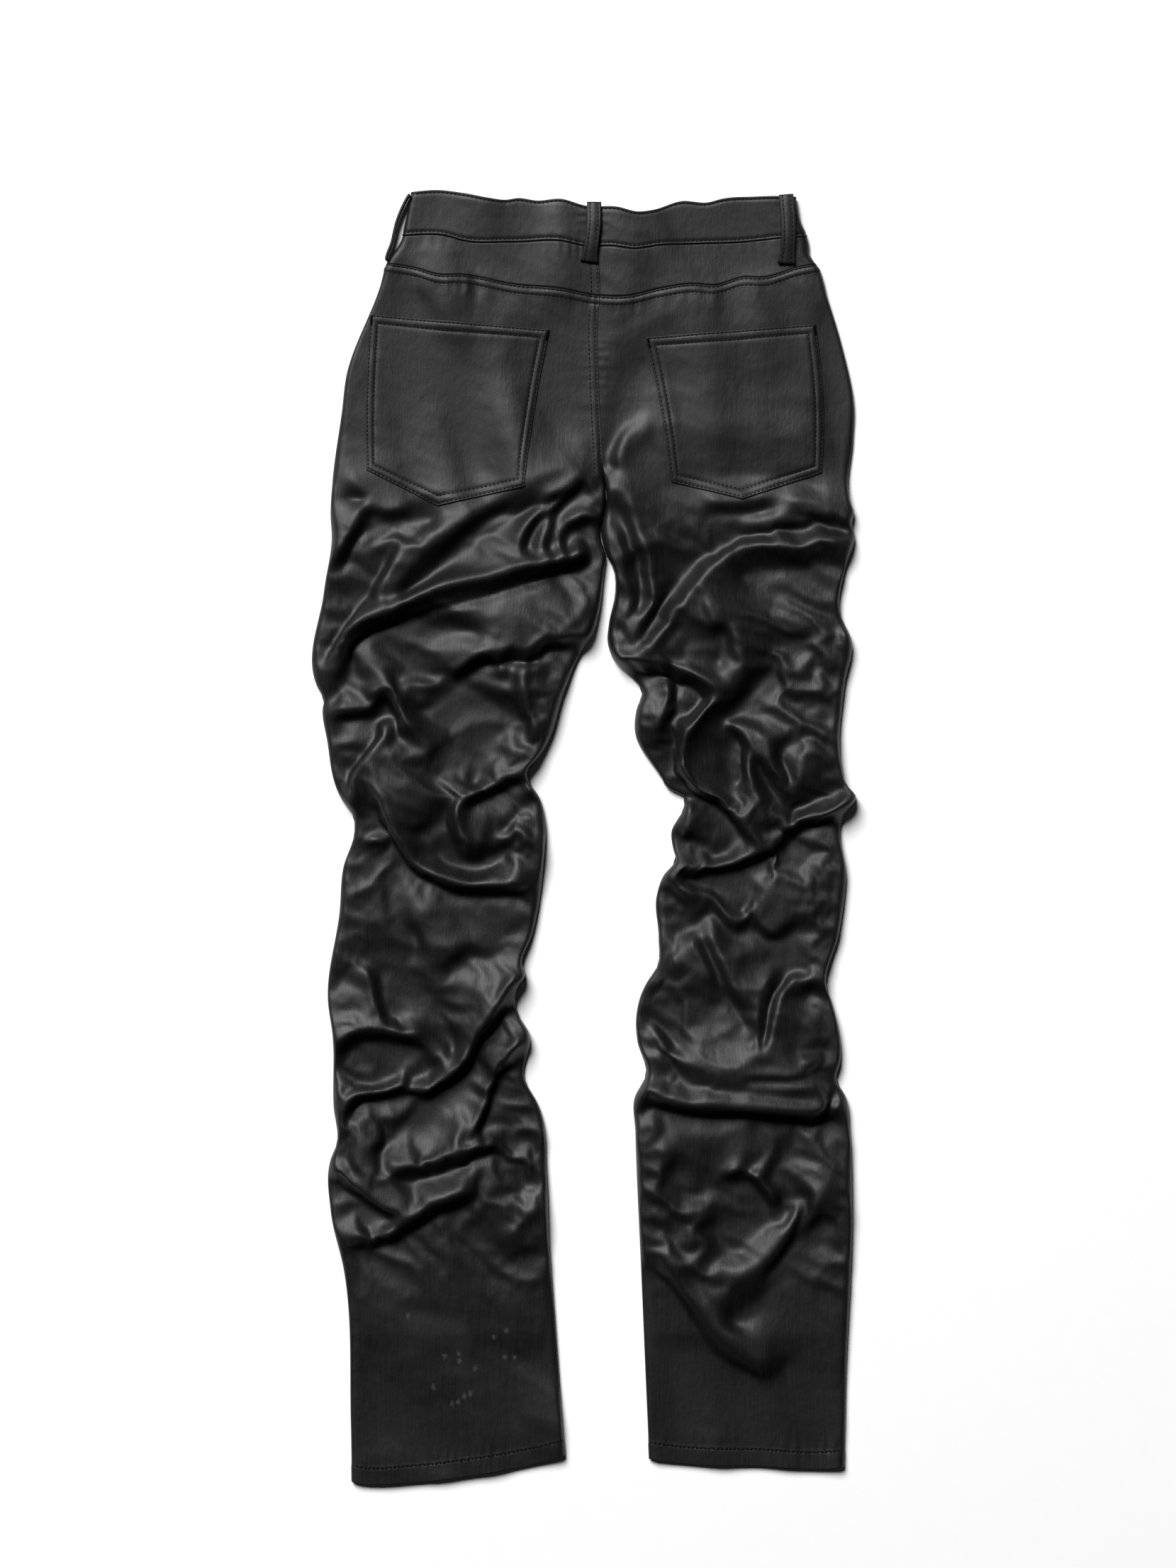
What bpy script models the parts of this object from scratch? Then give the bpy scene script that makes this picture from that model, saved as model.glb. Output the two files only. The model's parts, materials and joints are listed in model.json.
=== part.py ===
"""Stacked jeans in coated stretch denim, laid flat on their front with the back up.

The garment lies on the plane z = 0, waist towards +Y, its back facing +Z. It is built the way
it is sewn: two fronts, two backs, two yokes, a waistband, two patch pockets, belt loops and a
waist button, each one a closed wall of cloth that stops about 0.3 mm short of its neighbour.
Sizes below are in millimetres; the meshes are in metres.
"""

import math
from collections import namedtuple

import bmesh
import bpy
import numpy as np
from mathutils import Vector
from mathutils.bvhtree import BVHTree

MM = 0.001
TINY = 1e-9  # keeps a division from dividing by nothing
SHARP = math.radians(50)  # faces that meet more sharply than this shade as an edge

# Cloth and sewing
CLOTH = 1.2  # one layer of coated twill
SEAM_GAP = 0.3  # between two pieces that are sewn together
LAID_GAP = 0.35  # under a piece that is sewn on top of another
BAND_CLOTH = 2.2  # the waistband is the cloth doubled
FELL_WIDTH = 8.0  # a felled seam's raised band
FELL_RISE = 0.8
HEM_DEPTH = 15.0
HEM_RISE = 0.8
STEP_WIDTH = 1.5  # of the step down from a raised band to the plain cloth

# Form of the laid tube
EDGE_ROUND = 7.0  # how far in from a folded edge the cloth has turned level
SEAM_SHARE = 0.33  # height of the side seams, as a share of the crown
CROTCH_Y = 296.0  # where the seat divides into two legs
CROTCH_FADE = 14.0
LOWEST_BACK = 3.1  # the back's outer face where it touches the front
LOWEST_EDGE = 4.6  # the same beside a folded edge, which stays round
LOW_REACH = 24.0  # how far in from the edge that holds
LOW_EASE = 2.0  # the last stretch of height above the lowest, which is eased

# Waistband, front
WAIST_HEIGHT = 35.0
FRONT_DIP = 17.0  # the front of the waist is cut lower than the back
FRONT_SHORT = 3.0  # how far it stays below the back's top edge at the sides
BUTTON_X = 21.0

# Small parts
BUTTON_RADIUS = 8.5
BUTTON_THICK = 2.2
BUTTON_RISE = 2.8
BUTTON_SPREAD = 80.0  # the front arches over the button for this far around it
BUTTON_COVER = 11.05  # and is level over it as far out as this
BUTTON_SEGMENTS = 24
LOOP_WIDTH = 10.5
LOOP_THICK = 1.8
LOOP_ARCH = 2.4
LOOP_SPRING = 0.8  # power of a loop's arch: below 1 it rises steeply at its ends
LOOP_SIDES = 0.8  # thickness of its sides, as a share of its middle's
POCKET_CLOTH = 1.6
CUTTER_HEIGHT = 60.0  # of the hidden prisms that cut the pockets out
ABOVE_ALL = 200.0  # a height that clears the garment

# Mesh pitch
SETTLE_ROUNDS = 4  # a grid's x depends on its y at the ends, and its y on its x
FOLD_STEP = 13.5
PLAIN_STEP = 24.0
FOLD_TOP_Y = 262.0
FOLD_END_Y = -345.0
RELIEF_STEP = 4.0
RELIEF_REACH = (228, 540)  # half the area that the folds are worked out over
BAND_ROWS = 2
BACK_CELLS = 11  # across one half, between the columns where its edges turn
FRONT_CELLS = 3
EDGE_TURNS = [0, 40, 65, 90]  # degrees through which the cloth has turned, at each edge column
BACK_TOP_Y = 455.0  # rows run level, and near the ends they take up the slant of the end
FRONT_TOP_Y = 478.0
HEM_Y = -518.0
TOP_SLANT = 90.0  # over this length at the top
HEM_SLANT = 120.0
POCKET_ROWS = (240, 452)
SIDE_LOOP_POINTS = 13
LOOP_SEAT_POINTS = 5

# Finish
CLOTH_COLOUR = (0.022, 0.021, 0.022)
CLOTH_ROUGHNESS = 0.42
METAL_COLOUR = (0.05, 0.05, 0.05)
METAL_ROUGHNESS = 0.35

# The edges of the laid garment, listed where each one turns, from the waist down to the hem.
# The scallops are the ends of folds.
Turn = namedtuple("Turn", "y x")

LEFT_SIDE = [
    Turn(528, -142), Turn(505, -146), Turn(485, -152), Turn(470, -162), Turn(450, -168),
    Turn(375, -196), Turn(350, -199), Turn(290, -207), Turn(262, -208.5), Turn(246, -207.5),
    Turn(200, -214), Turn(123, -219.5), Turn(112, -214), Turn(104, -215), Turn(80, -211.5),
    Turn(30, -199), Turn(17, -190), Turn(4, -189), Turn(-25, -198), Turn(-60, -201),
    Turn(-136, -210.5), Turn(-160, -207), Turn(-220, -206), Turn(-251, -203.5),
    Turn(-264, -208.5), Turn(-305, -208.5), Turn(-355, -197.5), Turn(-478, -192),
    Turn(-535, -191),
]

LEFT_INSEAM = [
    Turn(296, 14.5), Turn(276, 16.5), Turn(245, 9), Turn(220, 15.5), Turn(180, 10.5),
    Turn(165, 6), Turn(150, -4), Turn(122, -16), Turn(65, -38), Turn(55, -46.5), Turn(45, -46),
    Turn(34, -38.5), Turn(14, -33), Turn(-20, -34), Turn(-80, -43.5), Turn(-104, -51.5),
    Turn(-113, -49), Turn(-122, -54.5), Turn(-148, -53.5), Turn(-158, -47), Turn(-199, -49.5),
    Turn(-218, -39), Turn(-275, -31.5), Turn(-320, -30), Turn(-400, -24.5), Turn(-535, -14.5),
]

RIGHT_INSEAM = [
    Turn(296, 14.5), Turn(276, 18), Turn(245, 14), Turn(222, 22), Turn(200, 24), Turn(175, 19),
    Turn(158, 18), Turn(146, 22), Turn(118, 46), Turn(104, 41.5), Turn(84, 40.5), Turn(48, 62),
    Turn(40, 67), Turn(33, 80), Turn(24, 80), Turn(4, 70), Turn(-10, 71.5), Turn(-19, 73.5),
    Turn(-31, 64), Turn(-48, 58), Turn(-82, 59.5), Turn(-108, 57.5), Turn(-118, 50.5),
    Turn(-150, 41), Turn(-166, 42), Turn(-195, 49), Turn(-213, 40), Turn(-240, 40.5),
    Turn(-360, 45.5), Turn(-535, 53),
]

RIGHT_SIDE = [
    Turn(524, 171.5), Turn(503, 175), Turn(487, 182), Turn(473, 184.5), Turn(468, 188.5),
    Turn(440, 198), Turn(400, 210), Turn(350, 219.5), Turn(325, 218.5), Turn(274, 216.5),
    Turn(265, 219.5), Turn(256, 218), Turn(245, 220), Turn(222, 213), Turn(182, 208.5),
    Turn(160, 217.5), Turn(125, 212), Turn(58, 209.5), Turn(43, 213), Turn(33, 221),
    Turn(18, 211.5), Turn(-35, 213), Turn(-80, 207), Turn(-122, 197), Turn(-134, 201),
    Turn(-182, 208.5), Turn(-200, 205.5), Turn(-211, 212), Turn(-240, 216), Turn(-310, 218),
    Turn(-440, 213), Turn(-535, 211),
]

# The seam down the middle of the back, from the waistband to the crotch.
CENTRE_SEAM = [Turn(490, 9), Turn(440, 11.5), Turn(425, 10), Turn(380, 10.5), Turn(296, 14.5)]

Leg = namedtuple("Leg", "side inseam")
LEFT_LEG = Leg(LEFT_SIDE, LEFT_INSEAM)
RIGHT_LEG = Leg(RIGHT_SIDE, RIGHT_INSEAM)

# Edges that run across the garment, as (x, y): the waistband's top edge and lower seam, the
# yoke seam and the two hems.
WAIST_TOP = [
    (-142, 527), (-120, 528.5), (-100, 526), (-80, 522), (-65, 520.5), (-55, 522), (-40, 520),
    (-20, 521), (0, 515.5), (25, 514.5), (43, 510.5), (55, 512), (78, 519.5), (100, 518.5),
    (112, 521.5), (140, 523), (171, 523),
]
WAIST_SEAM = [
    (-153, 491), (-114, 491), (-100, 487), (-60, 486), (-20, 486.5), (0, 482.5), (22, 482.5),
    (40, 480), (60, 483), (90, 484.5), (130, 486), (155, 488.5), (181, 490),
]
YOKE_SEAM = [
    (-164, 468.5), (-140, 465), (-120, 459), (-100, 459), (-60, 451.5), (-20, 447.5),
    (10, 442), (35, 441.5), (60, 447.5), (90, 451.5), (105, 450.5), (130, 457.5),
    (145, 457), (175, 465.5), (189, 468),
]
LEFT_HEM = [(-191, -527), (-180, -529), (-150, -528), (-80, -519.5), (-40, -512), (-16, -505)]
RIGHT_HEM = [(53, -508.5), (70, -511), (140, -514), (198, -516), (211, -514.5)]

# Height of the back's outer face between its folds: the two layers lie on each other, with a
# little slack that grows where the legs are stacked.
Crown = namedtuple("Crown", "y height")
CROWNS = [
    Crown(530, 6), Crown(440, 6), Crown(340, 7), Crown(230, 8.5), Crown(60, 8.5),
    Crown(-60, 8), Crown(-200, 8), Crown(-340, 6.5), Crown(-420, 5), Crown(-530, 4.6),
]

# The largest folds. crest is the line that a ridge (or a trough, where rise is negative) runs
# along, and round is the half width of its top. Where foot is given, the cloth drops to the
# right of the crest and is down by sink at that distance.
Fold = namedtuple("Fold", "crest rise round foot sink", defaults=(5, 0, 0))

LEFT_FOLDS = [
    # hip and thigh
    Fold([(-188, 172), (-150, 215), (-112, 252), (-60, 282), (-8, 304)], 7, 9, 16, -3),
    Fold([(-200, 160), (-180, 176), (-120, 199), (-60, 217), (-33, 223)], 11, 6, 11, -4),
    Fold([(-170, 164), (-150, 173), (-125, 181)], 3, 4, 9, -4),
    Fold([(-108, 132), (-90, 145), (-75, 152), (-45, 158), (4, 167)], 6, 5, 8, -3),
    Fold([(-205, 222), (-196, 245), (-182, 271)], 5, 5, 9, -2),
    # creases that fan from the crotch
    Fold([(-54, 228), (-50, 245), (-35, 268), (-8, 295)], 7, 4, 8, -3),
    Fold([(-36, 226), (-34, 243), (-22, 262), (-4, 282)], 5, 4, 8, -4),
    Fold([(0, 262), (2, 240), (7, 222)], -6, 6),
    Fold([(-47, 152), (-50, 135), (-46, 115), (-38, 95)], 5, 5),
    # above and behind the knee
    Fold([(-160, 120), (-152, 104), (-142, 91), (-131, 82)], 8, 5, 11, -6),
    Fold([(-205, 104), (-185, 104), (-168, 107)], 4, 5, 11, -5),
    Fold([(-159, 88), (-170, 72), (-180, 58), (-189, 42), (-191, 22)], 5, 5, 8, -3),
    Fold([(-174, 50), (-168, 36), (-158, 26), (-153, 6), (-143, -12), (-126, -26), (-100, -36),
          (-60, -36)], 9, 6, 12, -4),
    Fold([(-104, 32), (-103, 18), (-96, 6), (-91, -12)], 8, 6, 12, -3),
    Fold([(-103, 32), (-82, 44), (-62, 54), (-50, 59)], 6, 6, 8, -4),
    Fold([(-72, 8), (-60, 25), (-44, 40)], 4, 5, 9, -4),
    Fold([(-88, 72), (-86, 52)], -4, 6),
    Fold([(-104, -20), (-84, -24), (-62, -12)], -6, 6),
    # calf
    Fold([(-161, -164), (-169, -148), (-177, -125), (-183, -102)], 5, 6, 12, -4),
    Fold([(-128, -68), (-122, -90), (-122, -112)], 4, 12),
    Fold([(-140, -126), (-124, -136), (-115, -160), (-109, -178)], -4, 7),
    Fold([(-206, -172), (-185, -158), (-160, -156), (-132, -158)], 7, 6, 12, -4),
    Fold([(-200, -184), (-172, -190), (-148, -184)], 4, 5, 12, -5),
    Fold([(-150, -216), (-130, -203), (-112, -188), (-98, -167), (-80, -144), (-62, -122),
          (-50, -110)], 10, 6, 11, -6),
    Fold([(-200, -245), (-196, -222), (-186, -211), (-160, -205), (-140, -200)], 7, 5, 10, -4),
    Fold([(-95, -250), (-86, -225), (-75, -198), (-60, -178), (-50, -162)], 7, 5, 9, -5),
    # ankle
    Fold([(-198, -238), (-186, -230), (-172, -233), (-165, -245)], 5, 5),
    Fold([(-205, -262), (-188, -280), (-170, -294), (-150, -297)], 7, 6, 14, -3),
    Fold([(-160, -262), (-130, -258), (-98, -254), (-76, -246)], 6, 6, 12, -5),
    Fold([(-196, -322), (-168, -322), (-146, -312), (-125, -297), (-95, -286)], 8, 6, 14, -4),
    Fold([(-62, -236), (-57, -258), (-52, -278), (-44, -288)], -4, 5),
    Fold([(-78, -340), (-58, -331), (-32, -328)], 2.5, 8, 13, -2),
]

RIGHT_FOLDS = [
    # seat and thigh
    Fold([(31, 400), (27, 365), (23, 340), (18, 310)], -5, 7),
    Fold([(20, 300), (32, 318), (55, 335)], 4, 10),
    Fold([(72, 322), (110, 326), (150, 328), (186, 322)], 3.5, 9, 16, -2),
    Fold([(98, 274), (120, 273), (150, 276)], 2.5, 5, 11, -3),
    Fold([(162, 262), (138, 250), (118, 241), (100, 227), (84, 209), (70, 189), (58, 171),
          (42, 152)], 10, 6, 11, -5),
    Fold([(24, 284), (38, 272), (45, 244), (52, 214), (50, 186), (32, 151)], 4, 5),
    Fold([(122, 254), (150, 258), (180, 258), (200, 250)], 4, 5, 10, -2),
    Fold([(118, 233), (150, 237), (185, 238), (214, 242)], 5, 6, 15, -3),
    Fold([(165, 275), (188, 271), (203, 260), (218, 256)], 5, 5, 9, -3),
    Fold([(103, 184), (113, 176), (116, 158), (112, 128)], 5, 5),
    Fold([(25, 150), (50, 147), (72, 141), (92, 132), (107, 119)], 8, 5, 9, -6),
    # above and behind the knee
    Fold([(108, 112), (92, 95), (80, 80), (79, 62), (88, 46), (110, 33), (126, 19), (139, 2)],
         8, 5, 10, -4),
    Fold([(114, 88), (121, 76), (127, 62), (121, 44)], -7, 8),
    Fold([(121, 93), (132, 83), (137, 66), (134, 38), (140, 16), (152, -6)], 6, 5),
    Fold([(121, 95), (135, 107), (148, 122), (154, 134)], -4, 5),
    Fold([(150, 78), (158, 62), (168, 42)], 4, 8),
    Fold([(165, 24), (185, 34), (206, 40)], -4, 6),
    Fold([(154, -5), (166, 8), (184, 17), (204, 24), (220, 31)], 7, 5, 9, -3),
    Fold([(67, -23), (90, -21), (112, -17), (132, -10), (152, -5)], 5, 5, 8, -3),
    Fold([(74, -2), (88, 4), (104, -10)], -5, 5),
    # calf
    Fold([(68, -32), (84, -42), (95, -52), (96, -72)], 4, 5, 12, -4),
    Fold([(100, -46), (116, -58), (130, -62), (142, -60), (155, -74), (175, -62)], 2.5, 6),
    Fold([(148, -106), (142, -128), (138, -160), (144, -184)], 4, 5),
    Fold([(176, -114), (162, -124), (155, -148), (147, -182)], 4, 5),
    Fold([(120, -182), (145, -183), (168, -182), (192, -177)], 4, 5, 9, -2),
    Fold([(164, -124), (180, -113), (196, -121)], 4, 5, 11, -2),
    Fold([(55, -152), (65, -172), (80, -200)], 4, 5),
    Fold([(44, -203), (80, -203), (110, -206), (150, -207), (185, -207), (208, -203)],
         11, 8, 19, -6),
    # ankle
    Fold([(108, -272), (130, -262), (145, -250), (152, -236)], 5, 7, 11, -5),
    Fold([(146, -350), (160, -330), (172, -310), (175, -290)], 4, 6, 10, -5),
    Fold([(70, -268), (76, -285), (96, -294), (110, -282)], -3, 6),
    Fold([(118, -382), (138, -376), (158, -354), (184, -328), (202, -308)], 3, 9, 14, -4),
    Fold([(58, -345), (74, -370), (92, -398), (112, -425), (145, -445)], 5, 10, 15, -4),
]

# The outline of each back pocket, as (x, y).
LEFT_POCKET = [(-176, 427), (-110, 423.5), (-29, 414.5), (-41, 360), (-50, 285), (-120, 269.5),
               (-178.5, 299), (-179.5, 350)]
RIGHT_POCKET = [(49, 408), (110, 413.5), (188, 419), (194.5, 345), (193, 297), (128, 275),
                (70, 289.5), (60, 360)]

# A belt loop's centre line, as (x, y), from the top of the waistband to below its seam.
CENTRE_LOOP = [(7, 518), (6.8, 500), (5, 484), (3, 469)]
RIGHT_LOOP = [(163.5, 524), (165, 505), (165.2, 486), (164, 467.5)]
# The left side loop stands out sideways from the fold at the side of the waist.
SIDE_LOOP_Y = (524, 471)
SIDE_LOOP_Z = (0.6, 9.4)
SIDE_LOOP_BOW = 7.5


def curve_through(points, x):
    """A smooth curve through (x, y) points, read at x. The ends carry on level."""
    px, py = (np.array(c, float) for c in zip(*sorted(points)))
    slope = np.gradient(py, px)
    x = np.clip(np.asarray(x, float), px[0], px[-1])
    i = np.clip(np.searchsorted(px, x) - 1, 0, len(px) - 2)
    width = px[i + 1] - px[i]
    t = (x - px[i]) / width
    return (
        (2 * t**3 - 3 * t**2 + 1) * py[i]
        + (t**3 - 2 * t**2 + t) * width * slope[i]
        + (3 * t**2 - 2 * t**3) * py[i + 1]
        + (t**3 - t**2) * width * slope[i + 1]
    )


def smooth_line(points, pieces=4):
    """Points along a smooth line through the given ones (Catmull-Rom)."""
    p = np.array(points, float)
    p = np.vstack([2 * p[0] - p[1], p, 2 * p[-1] - p[-2]])
    line = []
    for a, b, c, d in zip(p, p[1:], p[2:], p[3:]):
        for t in np.arange(pieces) / pieces:
            line.append(0.5 * (2 * b + (c - a) * t + (2 * a - 5 * b + 4 * c - d) * t**2
                               + (3 * b - a - 3 * c + d) * t**3))
    return np.array(line + [p[-2]])


def fade(t):
    """0 below t = 0, 1 above t = 1, smooth between."""
    t = np.clip(t, 0, 1)
    return t * t * (3 - 2 * t)


def edges_at(leg, y):
    """(side seam x, inner x) of a leg at height y: inner is the inseam below the crotch and
    the centre back seam above it."""
    inner = np.where(np.asarray(y) > CROTCH_Y, curve_through(CENTRE_SEAM, y),
                     curve_through(leg.inseam, y))
    return curve_through(leg.side, y), inner


def crown_at(y):
    return curve_through(CROWNS, y)


def seam_height(y):
    return SEAM_SHARE * crown_at(y)


class Relief:
    """The folds as one displacement of the crown, solved like a tight skin over their lines."""

    SPREAD = 17.0  # how far a fold's slope reaches when nothing else stops it
    HOLD = 6.0  # how strongly a line holds the skin
    ROUNDS = 500
    SOFTEN = 3  # rounds of averaging at the end, so that no ridge is finer than the mesh
    REGAIN = 1.45  # makes up the height that the averaging takes off a ridge
    TAPER = 0.14  # share of a crest's length over which it rises from the level
    ROUNDING = 0.3  # how much lower than its crest the held top of a ridge is at its sides

    def __init__(self, step):
        self.step = step
        self.x, self.y = (np.arange(-reach, reach + step, step) for reach in RELIEF_REACH)
        gx, gy = np.meshgrid(self.x, self.y, indexing="ij")
        middle = (edges_at(LEFT_LEG, gy)[1] + edges_at(RIGHT_LEG, gy)[1]) / 2
        self.left = gx < middle
        self.parted = gy <= CROTCH_Y
        self.hold = np.zeros_like(gx)
        self.aim = np.zeros_like(gx)
        self.grid = gx, gy
        for folds, own in ((LEFT_FOLDS, self.left), (RIGHT_FOLDS, ~self.left)):
            for fold in folds:
                self.draw(fold, own)
        self.shift = self.settle()

    def draw(self, fold, own):
        """Adds a fold's crest and, where it has one, its foot to what holds the skin."""
        line = smooth_line(fold.crest)
        gx, gy = self.grid
        reach = max(fold.round, self.step) + fold.foot + self.step
        near = (own & (gx > line[:, 0].min() - reach) & (gx < line[:, 0].max() + reach)
                & (gy > line[:, 1].min() - reach) & (gy < line[:, 1].max() + reach))
        p = np.stack([gx[near], gy[near]], 1)
        off, right, along = nearest_on(line, p)
        taper = fade(along / self.TAPER) * fade((1 - along) / self.TAPER)
        half = max(fold.round, self.step)
        cap = np.clip(1 - (off / half) ** 2, 0, 1)
        self.add(near, self.HOLD * taper * cap,
                 fold.rise * (1 - self.ROUNDING * (1 - cap)))
        if fold.foot:
            from_foot = np.where(right, np.abs(off - fold.foot), np.inf)
            cap = np.clip(1 - (from_foot / self.step) ** 2, 0, 1)
            self.add(near, self.HOLD * taper * cap, fold.sink)

    def add(self, near, weight, aim):
        hold = self.hold[near]
        self.aim[near] = (self.aim[near] * hold + aim * weight) / np.maximum(hold + weight, TINY)
        self.hold[near] = hold + weight

    def settle(self):
        """Relaxes the skin between the lines, each leg by itself below the crotch."""
        left, parted = self.left, self.parted
        along_x = 1.0 - ((left[1:] != left[:-1]) & parted[1:])
        along_y = 1.0 - ((left[:, 1:] != left[:, :-1]) & parted[:, 1:])
        screen = (self.step / self.SPREAD) ** 2

        def around(shift):
            total = np.zeros_like(shift)
            total[1:] += along_x * shift[:-1]
            total[:-1] += along_x * shift[1:]
            total[:, 1:] += along_y * shift[:, :-1]
            total[:, :-1] += along_y * shift[:, 1:]
            return total

        links = around(np.ones_like(self.aim))
        shift = self.aim * (self.hold > 0)
        for _ in range(self.ROUNDS):
            shift = (around(shift) + self.hold * self.aim) / (links + self.hold + screen)
        for _ in range(self.SOFTEN):
            shift = (around(shift) + links * shift) / (2 * links)
        return shift * self.REGAIN

    def at(self, x, y):
        """The displacement at points (x, y), read linearly from the grid."""
        i = (np.asarray(x) - self.x[0]) / self.step
        j = (np.asarray(y) - self.y[0]) / self.step
        i0 = np.clip(i.astype(int), 0, len(self.x) - 2)
        j0 = np.clip(j.astype(int), 0, len(self.y) - 2)
        a, b = i - i0, j - j0
        s = self.shift
        return ((1 - a) * (1 - b) * s[i0, j0] + a * (1 - b) * s[i0 + 1, j0]
                + (1 - a) * b * s[i0, j0 + 1] + a * b * s[i0 + 1, j0 + 1])


def nearest_on(line, points):
    """For each point: its distance to the line, whether it lies to the right of it, and where
    along the line the nearest place is (0 to 1)."""
    best = np.full(len(points), np.inf)
    right = np.zeros(len(points), bool)
    along = np.zeros(len(points))
    run = np.r_[0, np.cumsum(np.linalg.norm(np.diff(line, axis=0), axis=1))]
    for k, (a, b) in enumerate(zip(line, line[1:])):
        d = b - a
        t = np.clip(((points - a) @ d) / max(d @ d, TINY), 0, 1)
        gap = points - (a + t[:, None] * d)
        off = np.hypot(gap[:, 0], gap[:, 1])
        closer = off < best
        best = np.where(closer, off, best)
        side = d[0] * gap[:, 1] - d[1] * gap[:, 0]
        right = np.where(closer, side < 0, right)
        along = np.where(closer, (run[k] + t * (run[k + 1] - run[k])) / run[-1], along)
    return best, right, along


def back_height(relief, x, y, from_edge=LOW_REACH):
    """Height of the back's outer face where no edge turns it down."""
    lowest = LOWEST_BACK + (LOWEST_EDGE - LOWEST_BACK) * fade(1 - from_edge / LOW_REACH)
    over = crown_at(y) + front_lift(x, y) + relief.at(x, y) - lowest
    eased = LOW_EASE * np.exp(np.minimum(over, LOW_EASE) / LOW_EASE - 1)
    return lowest + np.where(over > LOW_EASE, over, eased)


def front_lift(x, y):
    """How far the front arches off the surface, over the waist button."""
    off = np.hypot(x - BUTTON_X, y - waist_front_top(BUTTON_X) + WAIST_HEIGHT / 2)
    return BUTTON_RISE * fade((BUTTON_SPREAD - off) / (BUTTON_SPREAD - BUTTON_COVER))


def waist_front_top(x):
    """The front waistband's top edge: level with the back's at the sides, lower between."""
    left, right = WAIST_TOP[0], WAIST_TOP[-1]
    t = (x - left[0]) / (right[0] - left[0])
    sides = left[1] - FRONT_SHORT + (right[1] - left[1]) * t
    return sides - FRONT_DIP * 4 * t * (1 - t)


def turned(distance, amount=1.0):
    """Share of full height at a distance from a folded edge. amount 0 is an edge left flat."""
    t = np.clip(distance / EDGE_ROUND, 0, 1)
    return 1 - amount * (1 - np.sqrt(1 - (1 - t) ** 2))


def edge_columns():
    return [EDGE_ROUND * (1 - math.cos(math.radians(a))) for a in EDGE_TURNS]


def columns_between(left, right, middle_cells):
    """x of each column between two edges, close together where the edges turn."""
    edge = np.array(edge_columns())
    share = np.linspace(0, 1, middle_cells + 1)[1:-1]
    inner = left[..., None] + EDGE_ROUND + (right - left - 2 * EDGE_ROUND)[..., None] * share
    return np.concatenate([left[..., None] + edge, inner, right[..., None] - edge[::-1]], -1)


def grid_columns(halves, y, cells):
    """x of a grid's columns across one half of the garment, or across both, for the heights y
    of its points. Panels that meet share their columns, so that their seam is one line."""
    width = cells + 2 * len(EDGE_TURNS) - 1
    parts = []
    for k, leg in enumerate(halves):
        own = y[:, k * (width - 1):k * (width - 1) + width]
        if leg is LEFT_LEG:
            side, inner = edges_at(leg, own[:, 0])[0], edges_at(leg, own[:, -1])[1]
            parts.append(columns_between(side, inner - SEAM_GAP / 2, cells))
        else:
            side, inner = edges_at(leg, own[:, -1])[0], edges_at(leg, own[:, 0])[1]
            parts.append(columns_between(inner + SEAM_GAP / 2, side, cells))
    if len(parts) == 1:
        return parts[0]
    left, right = parts
    return np.hstack([left[:, :-1], (left[:, -1:] + right[:, :1]) / 2, right[:, 1:]])


def leg_rows(top, bottom):
    """Heights of a leg's rows: close where it is folded, with the felled band and the hem."""
    upper = np.linspace(top - FELL_WIDTH - STEP_WIDTH, FOLD_TOP_Y,
                        round((top - FOLD_TOP_Y) / PLAIN_STEP) + 1)
    folds = np.linspace(FOLD_TOP_Y, FOLD_END_Y, round((FOLD_TOP_Y - FOLD_END_Y) / FOLD_STEP) + 1)
    lower = np.linspace(FOLD_END_Y, bottom + HEM_DEPTH + STEP_WIDTH,
                        round((FOLD_END_Y - bottom) / PLAIN_STEP) + 1)
    return np.concatenate([[top, top - FELL_WIDTH], upper[:-1], folds, lower[1:],
                           [bottom + HEM_DEPTH, bottom]])


def leg_grid(leg, top_edge, hem, cells, top_y):
    """(x, y) of a leg panel's points, rows from the top edge to the hem, columns left to right."""
    rows = leg_rows(top_y, HEM_Y)
    y = np.repeat(rows[:, None], cells + 2 * len(EDGE_TURNS) - 1, 1)
    for _ in range(SETTLE_ROUNDS):
        x = grid_columns((leg,), y, cells)
        to_top = fade((rows - top_y + TOP_SLANT) / TOP_SLANT)[:, None]
        to_hem = fade((HEM_Y + HEM_SLANT - rows) / HEM_SLANT)[:, None]
        y = rows[:, None] + (top_edge(x) - top_y) * to_top + (hem(x) - HEM_Y) * to_hem
    return x, y


def solid_from(name, outer, inner, material):
    """A closed wall between two grids of points (rows x columns x 3), its outer face up."""
    rows, columns = outer.shape[:2]
    count = rows * columns
    points = np.concatenate([outer.reshape(-1, 3), inner.reshape(-1, 3)]) * MM
    faces = []
    for i in range(rows - 1):
        for j in range(columns - 1):
            a, b = i * columns + j, i * columns + j + 1
            c, d = b + columns, a + columns
            faces += [(a, d, c), (a, c, b)]
            faces += [(a + count, c + count, d + count), (a + count, b + count, c + count)]
    rim = list(range(columns))
    rim += [i * columns + columns - 1 for i in range(1, rows)]
    rim += [(rows - 1) * columns + j for j in range(columns - 2, -1, -1)]
    rim += [i * columns for i in range(rows - 2, 0, -1)]
    for a, b in zip(rim, rim[1:] + rim[:1]):
        faces += [(a, b, b + count), (a, b + count, a + count)]
    mesh = bpy.data.meshes.new(name)
    mesh.from_pydata([tuple(p) for p in points], [], faces)
    mesh.shade_smooth()
    mesh.set_sharp_from_angle(angle=SHARP)
    return add_object(name, mesh, material)


def add_object(name, mesh, material):
    obj = bpy.data.objects.new(name, mesh)
    bpy.context.scene.collection.objects.link(obj)
    if material:
        mesh.materials.append(material)
    return obj


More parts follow.
